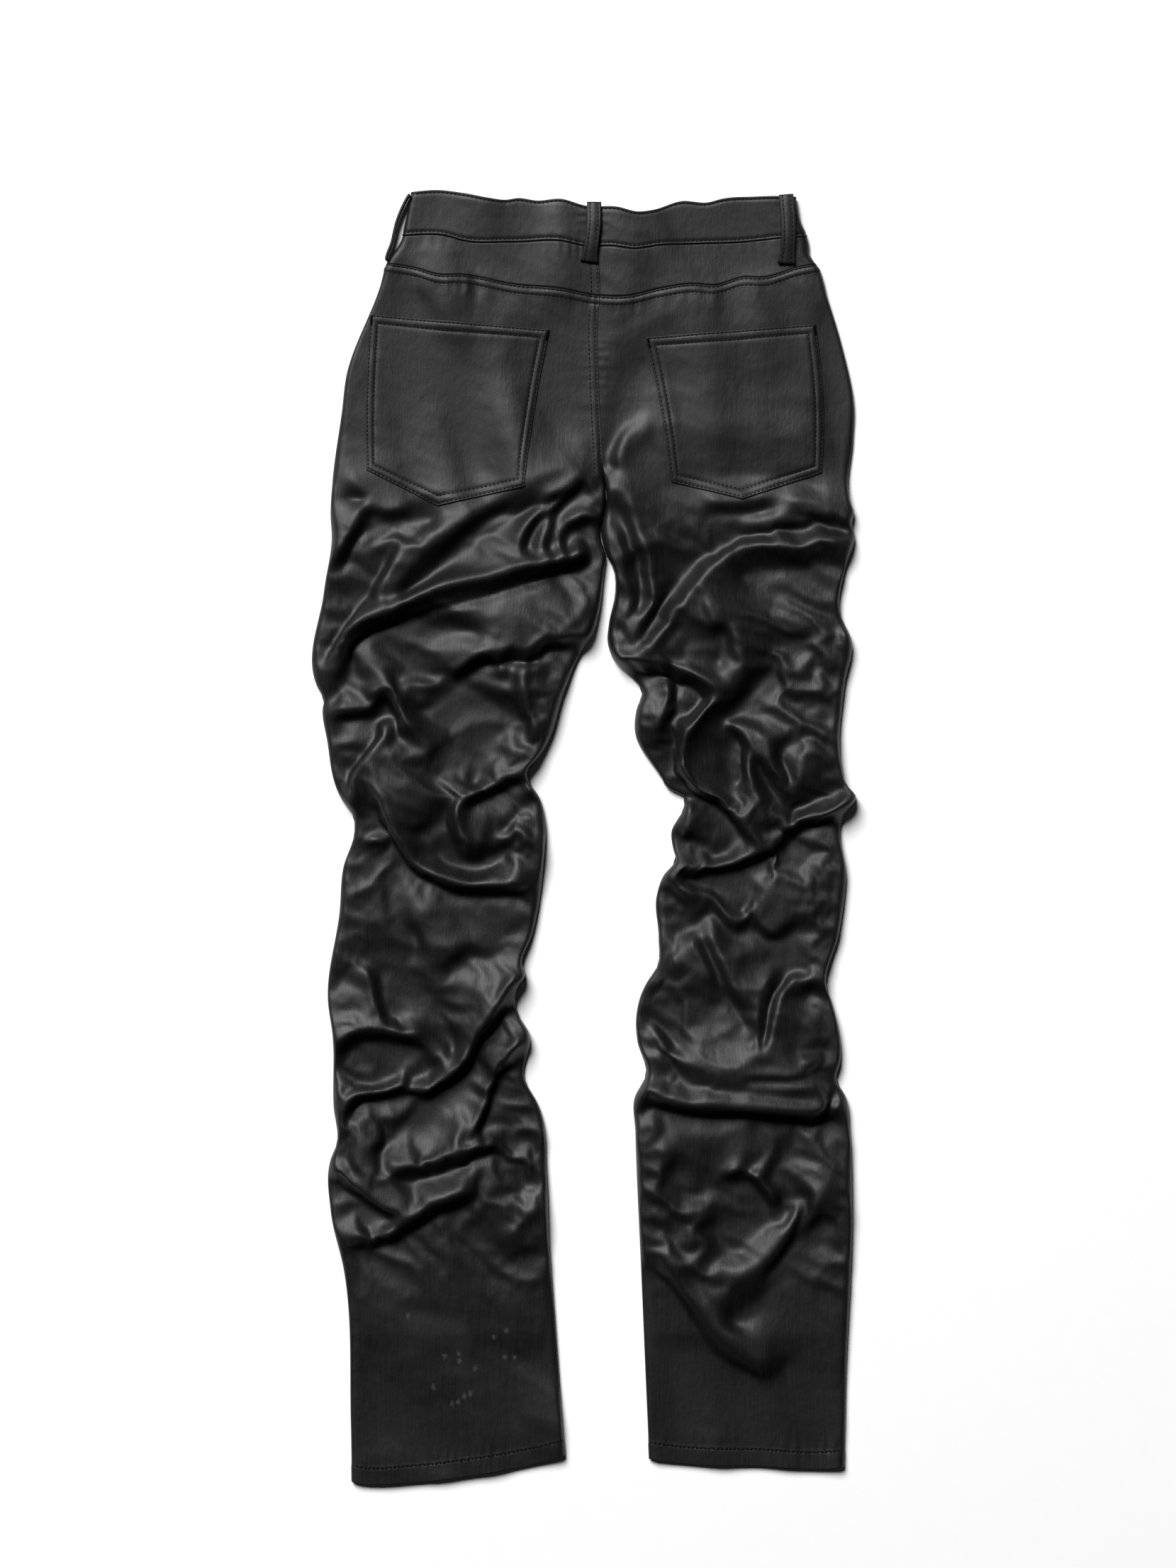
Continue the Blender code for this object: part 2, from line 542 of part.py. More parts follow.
def normals_of(grid, turn_left=0.0, turn_right=0.0):
    """Unit normals of a grid of points, towards the side that faces up. At its ends they are
    squared, so that the walls of two panels meet without crossing: a level seam's stand in the
    plane of the seam, and an edge that turns down (1 is a full turn) has them level."""
    down = np.gradient(grid, axis=0)
    across = np.gradient(grid, axis=1)
    normal = np.cross(down, across)
    normal[:, 0, 2] *= 1 - turn_left
    normal[:, -1, 2] *= 1 - turn_right
    normal[:, 0, 0] *= turn_left
    normal[:, -1, 0] *= turn_right
    normal[[0, -1], :, 1] = 0
    return normal / np.maximum(np.linalg.norm(normal, axis=2, keepdims=True), TINY)


def edge_distances(leg, x, y):
    """How far points are from the side and from the inner edge, and how far the legs have
    parted there: 0 above the crotch, where the inner edge is a level seam, and 1 below it."""
    side, inner = edges_at(leg, y)
    legs_part = fade((CROTCH_Y + CROTCH_FADE - y) / (2 * CROTCH_FADE))
    return np.abs(x - side), np.abs(x - inner) - SEAM_GAP / 2, legs_part


def turns_of(leg, legs_part):
    """The turn of a leg panel's left and right edges, row by row."""
    inner = legs_part[:, -1] if leg is LEFT_LEG else legs_part[:, 0]
    return (1.0, inner) if leg is LEFT_LEG else (inner, 1.0)


def back_leg(name, leg, top_edge, hem, relief, material):
    """One back: seat and leg in one panel, from the yoke seam to the hem. Returns its outer
    points too, for the pocket that lies on them."""
    x, y = leg_grid(leg, top_edge, hem, BACK_CELLS, BACK_TOP_Y)
    seam = seam_height(y) + SEAM_GAP / 2
    from_side, from_inner, legs_part = edge_distances(leg, x, y)
    share = turned(from_side) * turned(from_inner, legs_part)
    near = np.minimum(from_side, from_inner + LOW_REACH * (1 - legs_part))
    z = seam + (back_height(relief, x, y, near) - seam) * share
    raised = np.zeros_like(z)
    raised[:2] = FELL_RISE
    raised[-2:] = HEM_RISE
    if leg is LEFT_LEG:
        felled = (from_inner < FELL_WIDTH) & (y > CROTCH_Y)
        raised = np.maximum(raised, FELL_RISE * felled)
    middle = np.stack([x, y, z], 2)
    normal = normals_of(middle, *turns_of(leg, legs_part))
    outer = middle + normal * raised[..., None]
    inner = middle - normal * CLOTH
    solid_from(name, outer, inner, material)
    return outer


def front_leg(name, leg, top_edge, hem, material):
    """One front, flat on the surface, its edges turned up to the side seam and the inseam."""
    x, y = leg_grid(leg, top_edge, hem, FRONT_CELLS, FRONT_TOP_Y)
    seam = seam_height(y) - SEAM_GAP / 2
    from_side, from_inner, legs_part = edge_distances(leg, x, y)
    share = turned(from_side) * turned(from_inner, legs_part)
    z = seam * (1 - share) + front_lift(x, y)
    under = np.stack([x, y, z], 2)
    normal = normals_of(under, *turns_of(leg, legs_part))
    solid_from(name, under + normal * CLOTH, under, material)


def band(name, halves, top_edge, low_edge, height, thick, cells, material):
    """A piece that runs across one half of the garment or both, between two edges: a yoke or a
    stretch of waistband. height gives its outer face, and thick is negative where that face is
    underneath."""
    level = np.linspace(0, 1, BAND_ROWS + 1)[:, None]
    width = (cells + 2 * len(EDGE_TURNS) - 2) * len(halves) + 1
    y = np.full((BAND_ROWS + 1, width), WAIST_SEAM[0][1], float)
    for _ in range(SETTLE_ROUNDS):
        x = grid_columns(halves, y, cells)
        y = top_edge(x) + (low_edge(x) - top_edge(x)) * level
    from_side = np.min([np.abs(x - edges_at(leg, y)[0]) for leg in halves], axis=0)
    outer = np.stack([x, y, height(x, y, turned(from_side))], 2)
    normal = normals_of(outer, float(LEFT_LEG in halves), float(RIGHT_LEG in halves))
    wall = np.full((width, 1), float(thick))
    if LEFT_LEG in halves:
        wall[0] = math.copysign(CLOTH, thick)  # a doubled band thins where it folds over
    if RIGHT_LEG in halves:
        wall[-1] = math.copysign(CLOTH, thick)
    inner = outer - normal * wall
    faces = (outer, inner) if thick > 0 else (inner, outer)
    return solid_from(name, *faces, material)


def pocket(name, outline, panel, material):
    """A patch pocket: the panel's own points moved out, cut to the pocket's outline."""
    low, high = POCKET_ROWS
    keep = np.where((panel[:, 0, 1] < high) & (panel[:, 0, 1] > low))[0]
    turning = len(EDGE_TURNS) - 2  # the columns at each side where the panel turns down
    patch = panel[keep[0]:keep[-1] + 1, turning:-turning]
    normal = normals_of(patch)
    sheet = solid_from(name, patch + normal * (LAID_GAP + POCKET_CLOTH),
                       patch + normal * LAID_GAP, material)
    cutter = prism(name + "_outline", outline)
    cut = sheet.modifiers.new("outline", "BOOLEAN")
    cut.operation = "INTERSECT"
    cut.object = cutter


def prism(name, outline):
    """An upright prism over an outline, used only to cut with."""
    shape = bmesh.new()
    base = [shape.verts.new((x * MM, y * MM, 0)) for x, y in outline]
    face = shape.faces.new(base)
    face.normal_update()
    up = bmesh.ops.extrude_face_region(shape, geom=[face])
    risen = [v for v in up["geom"] if isinstance(v, bmesh.types.BMVert)]
    bmesh.ops.translate(shape, vec=Vector((0, 0, CUTTER_HEIGHT * MM)), verts=risen)
    bmesh.ops.recalc_face_normals(shape, faces=shape.faces)
    mesh = bpy.data.meshes.new(name)
    shape.to_mesh(mesh)
    shape.free()
    cutter = add_object(name, mesh, None)
    cutter.hide_render = True
    cutter.display_type = "WIRE"
    return cutter


def top_of(objects):
    """A function that gives the height of whatever lies under a point, in millimetres."""
    trees = []
    for obj in objects:
        vertices = [v.co.copy() for v in obj.data.vertices]
        trees.append(BVHTree.FromPolygons(vertices, [tuple(p.vertices) for p in
                                                     obj.data.polygons]))

    def height(x, y):
        hits = [tree.ray_cast(Vector((x, y, ABOVE_ALL)) * MM, Vector((0, 0, -1)))[0]
                for tree in trees]
        return max([hit.z / MM for hit in hits if hit] or [0.0])

    return height


def belt_loop(name, centre_line, under, material):
    """A strip of folded cloth, sewn down at both ends and bowed up over the waistband."""
    line = smooth_line(centre_line, 3)
    count = len(line)
    ahead = np.gradient(line, axis=0)
    across = np.stack([-ahead[:, 1], ahead[:, 0]], 1)
    across /= np.linalg.norm(across, axis=1, keepdims=True)
    seat = np.array([max(under(*(spot + sideways * s))
                         for s in np.linspace(-LOOP_WIDTH / 2, LOOP_WIDTH / 2,
                                              LOOP_SEAT_POINTS))
                     for spot, sideways in zip(line, across)])
    carried = np.where(seat > LOWEST_BACK)[0]
    seat = np.interp(np.arange(count), carried, seat[carried])
    seat = np.maximum(seat, np.maximum(np.r_[seat[1:], 0], np.r_[0, seat[:-1]]))
    bow = LOOP_ARCH * np.sin(np.linspace(0, math.pi, count)) ** LOOP_SPRING
    low = seat + LAID_GAP + bow
    grid = np.zeros((count, 3, 3))
    for j, (share, thick) in enumerate(((-0.5, LOOP_SIDES), (0, 1), (0.5, LOOP_SIDES))):
        grid[:, j, :2] = line + across * share * LOOP_WIDTH
        grid[:, j, 2] = low + LOOP_THICK * thick
    below = grid.copy()
    below[:, :, 2] = low[:, None]
    solid_from(name, grid, below, material)


def side_loop(name, material):
    """The loop at the left side of the waist, bowed outwards, its width standing upright."""
    t = np.linspace(0, 1, SIDE_LOOP_POINTS)
    y = SIDE_LOOP_Y[0] + (SIDE_LOOP_Y[1] - SIDE_LOOP_Y[0]) * t
    x = curve_through(LEFT_SIDE, y) - LAID_GAP - SIDE_LOOP_BOW * np.sin(math.pi * t) ** LOOP_SPRING
    line = np.column_stack([x, y])
    low, high = SIDE_LOOP_Z
    ahead = np.gradient(line, axis=0)
    outwards = np.stack([ahead[:, 1], -ahead[:, 0]], 1)
    outwards /= np.linalg.norm(outwards, axis=1, keepdims=True)
    inner = np.stack([np.column_stack([line, np.full(len(line), z)]) for z in (low, high)], 1)
    outer = inner + np.column_stack([outwards, np.zeros(len(line))])[:, None] * LOOP_THICK
    solid_from(name, outer, inner, material)


def waist_button(material):
    """The waist button: a round metal cap under the front waistband."""
    shape = bmesh.new()
    radius = BUTTON_RADIUS * MM
    bmesh.ops.create_cone(shape, cap_ends=True, segments=BUTTON_SEGMENTS, radius1=radius,
                          radius2=radius, depth=BUTTON_THICK * MM)
    mesh = bpy.data.meshes.new("waist_button")
    shape.to_mesh(mesh)
    shape.free()
    mesh.shade_smooth()
    mesh.set_sharp_from_angle(angle=SHARP)
    button = add_object("waist_button", mesh, material)
    centre_y = waist_front_top(BUTTON_X) - WAIST_HEIGHT / 2
    button.location = Vector((BUTTON_X, centre_y, BUTTON_THICK / 2)) * MM


def material_of(name, colour, roughness, metallic=0.0):
    material = bpy.data.materials.new(name)
    material.use_nodes = True
    shader = material.node_tree.nodes["Principled BSDF"]
    shader.inputs["Base Color"].default_value = (*colour, 1)
    shader.inputs["Roughness"].default_value = roughness
    shader.inputs["Metallic"].default_value = metallic
    return material


def build():
    for obj in list(bpy.data.objects):
        bpy.data.objects.remove(obj, do_unlink=True)
    cloth = material_of("coated_denim", CLOTH_COLOUR, CLOTH_ROUGHNESS)
    metal = material_of("button_metal", METAL_COLOUR, METAL_ROUGHNESS, metallic=1.0)
    relief = Relief(RELIEF_STEP)

    def edge(points, down=0.0):
        return lambda x: curve_through(points, x) - down

    def waist_height(rise):
        def height(x, y, share):
            low = seam_height(y) + SEAM_GAP / 2
            return low + (back_height(relief, x, y) + rise - low) * share
        return height

    def front_waist_height(x, y, share):
        low = seam_height(y) - SEAM_GAP / 2
        return low * (1 - share) + front_lift(x, y)

    backs = {}
    for name, leg, hem in (("left", LEFT_LEG, LEFT_HEM), ("right", RIGHT_LEG, RIGHT_HEM)):
        backs[name] = back_leg("back_" + name, leg, edge(YOKE_SEAM, SEAM_GAP), edge(hem),
                               relief, cloth)
        front_leg("front_" + name, leg, lambda x: waist_front_top(x) - WAIST_HEIGHT - SEAM_GAP,
                  edge(hem), cloth)
    pocket("pocket_left", LEFT_POCKET, backs["left"], cloth)
    pocket("pocket_right", RIGHT_POCKET, backs["right"], cloth)

    yokes = [band(name, (leg,), edge(WAIST_SEAM, SEAM_GAP), edge(YOKE_SEAM), waist_height(0),
                  CLOTH, BACK_CELLS, cloth)
             for name, leg in (("yoke_left", LEFT_LEG), ("yoke_right", RIGHT_LEG))]
    waist = band("waistband_back", (LEFT_LEG, RIGHT_LEG), edge(WAIST_TOP), edge(WAIST_SEAM),
                 waist_height(BAND_CLOTH - CLOTH), BAND_CLOTH, BACK_CELLS, cloth)
    for name, leg in (("left", LEFT_LEG), ("right", RIGHT_LEG)):
        band("waistband_front_" + name, (leg,), waist_front_top,
             lambda x: waist_front_top(x) - WAIST_HEIGHT, front_waist_height, -BAND_CLOTH,
             FRONT_CELLS, cloth)

    under = top_of([*yokes, waist])
    belt_loop("belt_loop_centre", CENTRE_LOOP, under, cloth)
    belt_loop("belt_loop_right", RIGHT_LOOP, under, cloth)
    side_loop("belt_loop_left", cloth)
    waist_button(metal)


build()
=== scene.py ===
"""Looks of the stacked jeans: coated stretch denim laid flat with the back up.

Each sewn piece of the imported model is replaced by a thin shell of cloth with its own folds,
seams and stitches. Sizes are in millimetres until a mesh is made, then in metres.
"""

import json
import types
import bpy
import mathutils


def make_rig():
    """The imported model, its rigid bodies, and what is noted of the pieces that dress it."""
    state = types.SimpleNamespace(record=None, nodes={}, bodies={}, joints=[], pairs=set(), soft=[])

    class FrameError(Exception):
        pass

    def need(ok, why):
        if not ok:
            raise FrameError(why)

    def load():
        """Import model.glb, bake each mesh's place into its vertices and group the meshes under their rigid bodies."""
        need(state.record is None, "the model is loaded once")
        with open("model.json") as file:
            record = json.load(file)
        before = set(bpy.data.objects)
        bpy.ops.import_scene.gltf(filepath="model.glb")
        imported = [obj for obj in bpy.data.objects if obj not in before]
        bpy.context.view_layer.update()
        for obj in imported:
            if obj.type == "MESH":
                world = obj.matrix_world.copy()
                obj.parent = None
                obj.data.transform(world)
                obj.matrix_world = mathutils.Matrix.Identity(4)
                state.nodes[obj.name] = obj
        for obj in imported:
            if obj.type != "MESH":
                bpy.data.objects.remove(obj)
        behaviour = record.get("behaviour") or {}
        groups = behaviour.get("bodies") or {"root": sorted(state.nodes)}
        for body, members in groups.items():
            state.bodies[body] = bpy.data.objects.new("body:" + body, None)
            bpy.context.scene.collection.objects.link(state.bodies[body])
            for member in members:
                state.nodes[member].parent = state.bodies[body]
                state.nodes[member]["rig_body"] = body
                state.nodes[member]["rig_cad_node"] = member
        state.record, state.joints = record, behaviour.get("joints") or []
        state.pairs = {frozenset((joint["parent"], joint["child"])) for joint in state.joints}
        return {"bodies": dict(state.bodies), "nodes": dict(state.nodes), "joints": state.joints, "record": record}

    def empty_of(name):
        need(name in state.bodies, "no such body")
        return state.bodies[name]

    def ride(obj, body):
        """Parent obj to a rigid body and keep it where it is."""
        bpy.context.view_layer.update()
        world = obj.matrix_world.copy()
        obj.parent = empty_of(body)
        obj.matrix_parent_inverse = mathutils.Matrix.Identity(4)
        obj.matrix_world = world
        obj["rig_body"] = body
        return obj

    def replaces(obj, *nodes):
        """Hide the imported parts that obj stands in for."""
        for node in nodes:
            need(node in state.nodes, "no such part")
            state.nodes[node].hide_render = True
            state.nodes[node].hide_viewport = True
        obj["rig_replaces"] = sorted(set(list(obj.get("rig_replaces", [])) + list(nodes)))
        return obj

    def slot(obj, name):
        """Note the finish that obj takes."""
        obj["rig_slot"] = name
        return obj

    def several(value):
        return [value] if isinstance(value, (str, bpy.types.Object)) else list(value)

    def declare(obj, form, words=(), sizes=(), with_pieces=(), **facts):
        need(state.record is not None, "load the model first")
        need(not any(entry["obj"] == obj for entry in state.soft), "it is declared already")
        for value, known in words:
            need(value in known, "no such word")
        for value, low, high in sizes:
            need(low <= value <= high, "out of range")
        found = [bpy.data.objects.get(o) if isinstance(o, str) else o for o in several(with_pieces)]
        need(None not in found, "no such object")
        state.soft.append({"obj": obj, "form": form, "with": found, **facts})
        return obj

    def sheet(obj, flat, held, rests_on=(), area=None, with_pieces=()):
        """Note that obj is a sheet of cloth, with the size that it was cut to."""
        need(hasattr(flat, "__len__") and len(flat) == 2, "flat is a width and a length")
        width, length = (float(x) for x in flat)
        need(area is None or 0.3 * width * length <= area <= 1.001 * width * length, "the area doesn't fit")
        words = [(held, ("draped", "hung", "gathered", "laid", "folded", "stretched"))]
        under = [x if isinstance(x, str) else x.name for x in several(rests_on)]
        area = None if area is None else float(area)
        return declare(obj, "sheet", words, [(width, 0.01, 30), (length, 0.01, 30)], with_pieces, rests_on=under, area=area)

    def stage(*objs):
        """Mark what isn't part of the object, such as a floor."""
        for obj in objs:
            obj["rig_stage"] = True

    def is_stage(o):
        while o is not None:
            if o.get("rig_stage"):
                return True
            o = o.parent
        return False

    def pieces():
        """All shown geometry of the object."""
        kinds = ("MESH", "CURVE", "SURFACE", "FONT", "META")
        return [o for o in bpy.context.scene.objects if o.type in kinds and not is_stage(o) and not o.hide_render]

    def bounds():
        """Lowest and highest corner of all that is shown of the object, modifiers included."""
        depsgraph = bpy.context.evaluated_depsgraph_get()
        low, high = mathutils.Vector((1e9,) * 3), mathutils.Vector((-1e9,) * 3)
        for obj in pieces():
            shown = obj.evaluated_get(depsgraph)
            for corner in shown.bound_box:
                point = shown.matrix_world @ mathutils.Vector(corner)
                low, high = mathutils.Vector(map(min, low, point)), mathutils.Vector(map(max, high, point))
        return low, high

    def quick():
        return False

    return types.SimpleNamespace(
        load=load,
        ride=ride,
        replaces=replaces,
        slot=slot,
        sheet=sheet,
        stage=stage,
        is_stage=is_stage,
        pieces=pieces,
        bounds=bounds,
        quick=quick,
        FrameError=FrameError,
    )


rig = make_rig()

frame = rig.load()

import json
import math
from collections import namedtuple
from functools import partial

import bpy
import numpy as np
from mathutils import Vector, noise

cad_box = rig.bounds()

MM = 0.001
TINY = 1e-9

# Cloth and sewing
CLOTH = 1.2
BAND_CLOTH = 2.2
POCKET_CLOTH = 1.3
SEAM_GAP = 0.3
LAID_GAP = 0.35  # under a pocket or a loop
FELL_WIDTH = 8.0
FELL_RISE = 0.5
HEM_DEPTH = 15.0
HEM_RISE = 0.35
STEP_WIDTH = 1.5  # over which a fell or a hem steps up
RIM = 1.1  # radius of a turned-in edge
POCKET_RIM = 0.2  # part of its thickness that a pocket has at its very edge

# Stitches: rows by their distance from an edge, and how they pull the cloth in
TWIN_NEEDLE = (1.6, 7.0)
WAIST_STITCH = 2.3
HEM_STITCH = 13.8
STITCH_DENT = 0.6
STITCH_DENT_WIDTH = 0.85
HEM_DENT = 0.5  # the hem's row pulls in by this part of the dent
STITCH_RINGS = np.array([-1, -0.86, -0.5, 0, 0.5, 0.86, 1])
STITCH_SIDES = 6
SINK = 0.05  # how high a row of stitches stands in its groove
HEM_STYLE = dict(length=3.2, gap=0.2, width=1.6, height=0.8, lean=0.6)
LOOP_STYLE = dict(width=0.9)
TACK = dict(length=0.55, gap=0.1, width=2.0, height=0.7)  # a bar tack's close, wide stitches
TACK_START, TACK_LENGTH, TACK_STEP, TACK_LIFT = 1.0, 8.0, 0.5, 0.3  # down from the pocket's top

# Form of the laid tube
EDGE_ROUND = 7.0
# Down a leg the roundness of its edge swings about this part of EDGE_ROUND.
EDGE_MEAN, EDGE_SWING, EDGE_WAVE, EDGE_DRIFT = 0.68, 0.32, 17, 41
SEAM_SHARE = 0.33
CROTCH_Y = 296.0
CROTCH_FADE = 14.0
LOWEST_BACK = 3.7
LOWEST_EDGE = 4.8
LOW_REACH = 24.0
LOW_EASE = 2.0
LOFT = 2.5
STACK_TOP, STACK_LOW, STACK_EASE = 300, -400, 60  # where the legs are stacked

# Waistband, front, button and loops
WAIST_HEIGHT = 35.0
FRONT_DIP = 17.0
FRONT_SHORT = 3.0
FRONT_CREASE = 0.9
FRONT_CREASE_ACROSS, FRONT_CREASE_ALONG = 64, 41
FRONT_CREASE_SHARP = 2.6
FRONT_CREASE_EDGE = 22
FRONT_SEAM_SHIFT = 4.0  # the fronts' centre seam isn't right under the backs'
FRONT_SHIFT_REACH = 40
BUTTON_X = 21.0
BUTTON_RISE = 2.8
BUTTON_SPREAD = 80.0
BUTTON_COVER = 11.05
BUTTON_TURNS = 36
BUTTON_PROFILE = ((0, 2.0), (3.2, 2.05), (4.0, 1.75), (6.2, 1.75), (6.9, 2.15), (7.9, 2.1),
                  (8.5, 1.5), (8.4, 0.9), (7.6, 0.55), (3.0, 0.5), (2.6, 0.05), (0, 0.05))
LOOP_WIDTH = 11.8
LOOP_THICK = 1.8
LOOP_ARCH = 2.4
LOOP_SPRING = 0.8
LOOP_SEAT = 5  # a loop rests on the highest cloth within this distance along it
LOOP_FLARE, LOOP_FLARE_REACH = 0.25, 0.12
# A loop's section, as (share of its width, part of its thickness), with two sewn grooves.
LOOP_PROFILE = ((-0.5, 0.3), (-0.48, 0.8), (-0.4, 1.0), (-0.27, 0.75), (-0.16, 1.0), (0, 1.0),
                (0.16, 1.0), (0.27, 0.75), (0.4, 1.0), (0.48, 0.8), (0.5, 0.3))
LOOP_ROWS = (3, 7)  # the columns of the profile that the stitches run along

# Pitch of the fine meshes
ROW_STEP = 2.35
FINE_STEP = 1.5
LINE_STEP = 1.2
SKIN_STEP = 2.0
SKIN_REACH = (232, 544)
FACING_STEP = 0.8
BACK_CELLS = 82
FRONT_CELLS = 30
FRONT_STEP = 7.0
YOKE_CELLS = 96
YOKE_ROWS = 22
POCKET_STEP = 1.9
POCKET_ROWS = (0, 0.25, 0.75, 1.6, 2.45, 3.4, 4.8, 6.1, 7.0, 7.9)
WAIST_ROWS = (0, 0.25, 0.8, 1.5, 2.3, 3.1)
# Rows of a leg panel, by their distance from its top edge and from its hem.
TOP_ROWS = (0, 0.5, 1.3, 2.1, 3.4, 4.7, 5.9, 6.7, 7.5, 8.3, 9.3, 10.6, 12.0)
HEM_ROWS = (0, 0.4, 1.3, 3.0, 5.0, 7.0, 9.0, 11.0, 12.2, 13.0, 13.8, 14.6, 15.5, 16.8, 18.3,
            20.0)
EDGE_TURNS = [0, 14, 28, 42, 57, 73, 90]
SETTLE_ROUNDS = 4
TOP_SLANT = 90.0
HEM_SLANT = 120.0
BACK_TOP_Y = 455.0
FRONT_TOP_Y = 478.0
HEM_Y = -518.0

# Puckers along the seams, and the small unevenness of handled cloth
PUCKER = 0.42
PUCKER_STEP = 8.6
PUCKER_SWELL = 1.7
PUCKER_REACH = 6.5
YOKE_PUCKER, BAND_PUCKER, SEAT_PUCKER, HEM_PUCKER = 0.2, 0.35, 0.22, 1.1
BELOW_YOKE, BELOW_BAND, ABOVE_HEM = 2.5, 4, 3  # how far outside the stitches they sit
SEAT_PUCKERS_AT = (11, -3)  # distances to the left of the centre seam
Gather = namedtuple("Gather", "x rise half_width")
YOKE_GATHERS = [
    Gather(-133, 1.7, 5), Gather(-118, -1.5, 4), Gather(-97, 1.8, 4), Gather(-90, -1.3, 3),
    Gather(-80, 1.6, 4), Gather(-52, 0.9, 5), Gather(-10, -1.4, 4), Gather(40, -1.4, 5),
    Gather(62, 1.6, 5), Gather(84, -0.9, 4), Gather(105, 1.6, 5), Gather(139, 0.9, 5),
]
GATHER_REACH = 10.0
# Wave lengths across and along, how sharp the crests are, rise where flat and where stacked.
UNEVEN_SCALES = ((95.0, 70.0, 0, 3.0, 3.0), (38.0, 110.0, 0, 5.0, 0.8),
                 (46.0, 30.0, 2.2, 0.3, 1.5), (24.0, 17.0, 2.2, 0.16, 0.6),
                 (12.0, 12.0, 0, 0.14, 0.3))
UNEVEN_SLANT = 0.35
UNEVEN_CREST = 0.6
# How worn the coating is: from this rise, over this much more, to this share.
WORN_FROM, WORN_OVER, WORN_CURVE, WORN_MOST = 4.5, 9.0, 1.5, 0.16

# Cloth simulation of the backs: where it acts, how much extra cloth, and how far it may move.
SIM_SKIP = 2
SIM_TOP, SIM_TOP_EASE = 266.0, 30.0
SIM_LOW, SIM_LOW_EASE = -430.0, 90.0
SIM_EDGE, SIM_EDGE_EASE = 3.0, 12.0
SIM_GOAL = 0.004
SIM_FRAMES = 16
SIM_CAP = 7.5
SIM_EASE = 2.4
SIM_HIGH = 30.0
SIM_BLEND = 0.2
# shrink_min makes the cloth a tenth longer than its room.
SIM_SETTINGS = dict(
    quality=6, mass=0.3, tension_stiffness=30, compression_stiffness=30, shear_stiffness=10,
    bending_stiffness=1.2, air_damping=2, vertex_group_mass="pins", pin_stiffness=1.0,
    vertex_group_shrink="taut", shrink_min=-0.10, shrink_max=0)

# Floor, light and camera, in metres. The camera looks straight down, as in the photograph.
FLOOR_HALF, FLOOR_Z = 3, -0.0006
WINDOW_PLACE, WINDOW_SIZE, WINDOW_POWER = (-3.2, 5.9, 7.0), 5.4, 1600
ROOM_LIGHT = 0.015
CAMERA_X, CAMERA_Y, CAMERA_UP = 0.0020, 0.0432, 2.90
PHOTO_HEIGHT = 1.283
SENSOR = 36.0

# Edges that run down, as (y, x).
LEFT_SIDE = [
    (528, -142), (505, -146), (485, -152), (470, -162), (450, -168), (375, -196), (350, -199),
    (290, -207), (262, -208.5), (246, -207.5), (200, -214), (123, -219.5), (112, -214),
    (104, -215), (80, -211.5), (30, -199), (17, -190), (4, -189), (-25, -198), (-60, -201),
    (-136, -210.5), (-160, -207), (-220, -206), (-251, -203.5), (-264, -208.5), (-305, -208.5),
    (-355, -197.5), (-478, -192), (-535, -191),
]
LEFT_INSEAM = [
    (296, 14.5), (276, 16.7), (245, 12.2), (229, 16.8), (219, 15.5), (180, 10.5), (165, 6),
    (150, -4), (122, -16), (65, -38), (55, -46.5), (45, -46), (34, -38.5), (14, -33), (-20, -34),
    (-80, -43.5), (-104, -51.5), (-113, -49), (-122, -54.5), (-148, -53.5), (-158, -47),
    (-199, -49.5), (-218, -39), (-275, -31.5), (-320, -30), (-400, -24.5), (-535, -14.5),
]
RIGHT_INSEAM = [
    (296, 14.5), (276, 17.2), (245, 12.8), (229, 17.6), (219, 22.5), (200, 24), (175, 19),
    (158, 18), (146, 22), (118, 46), (104, 41.5), (84, 40.5), (48, 62), (40, 67), (33, 80),
    (24, 80), (4, 70), (-10, 71.5), (-19, 73.5), (-31, 64), (-48, 58), (-82, 59.5), (-108, 57.5),
    (-118, 50.5), (-150, 41), (-166, 42), (-195, 49), (-213, 40), (-240, 40.5), (-360, 45.5),
    (-535, 53),
]
RIGHT_SIDE = [
    (524, 171.5), (503, 175), (487, 182), (473, 184.5), (468, 188.5), (440, 198), (400, 210),
    (350, 219.5), (325, 218.5), (274, 216.5), (265, 219.5), (256, 218), (245, 220), (222, 213),
    (182, 208.5), (160, 217.5), (125, 212), (58, 209.5), (43, 213), (33, 221), (18, 211.5),
    (-35, 213), (-80, 207), (-122, 197), (-134, 201), (-182, 208.5), (-200, 205.5), (-211, 212),
    (-240, 216), (-310, 218), (-440, 213), (-535, 211),
]
CENTRE_SEAM = [(490, 9), (440, 11.5), (425, 10), (380, 10.5), (296, 14.5)]

# Edges that run across, as (x, y).
WAIST_TOP = [
    (-142, 527), (-120, 528.5), (-100, 526), (-80, 522), (-65, 520.5), (-55, 522), (-40, 520),
    (-20, 521), (0, 515.5), (25, 514.5), (43, 510.5), (55, 512), (78, 519.5), (100, 518.5),
    (112, 521.5), (140, 523), (171, 523),
]
WAIST_SEAM = [
    (-153, 491), (-114, 491), (-100, 487), (-60, 486), (-20, 486.5), (0, 482.5), (22, 482.5),
    (40, 480), (60, 483), (90, 484.5), (130, 486), (155, 488.5), (181, 490),
]
YOKE_SEAM = [
    (-164, 468.5), (-140, 465), (-120, 459), (-100, 459), (-60, 451.5), (-20, 447.5),
    (10, 442), (35, 441.5), (60, 447.5), (90, 451.5), (105, 450.5), (130, 457.5),
    (145, 457), (175, 465.5), (189, 468),
]
LEFT_HEM = [(-191, -527), (-180, -529), (-150, -528), (-80, -519.5), (-40, -512), (-16, -505)]
RIGHT_HEM = [(53, -508.5), (70, -511), (140, -514), (198, -516), (211, -514.5)]

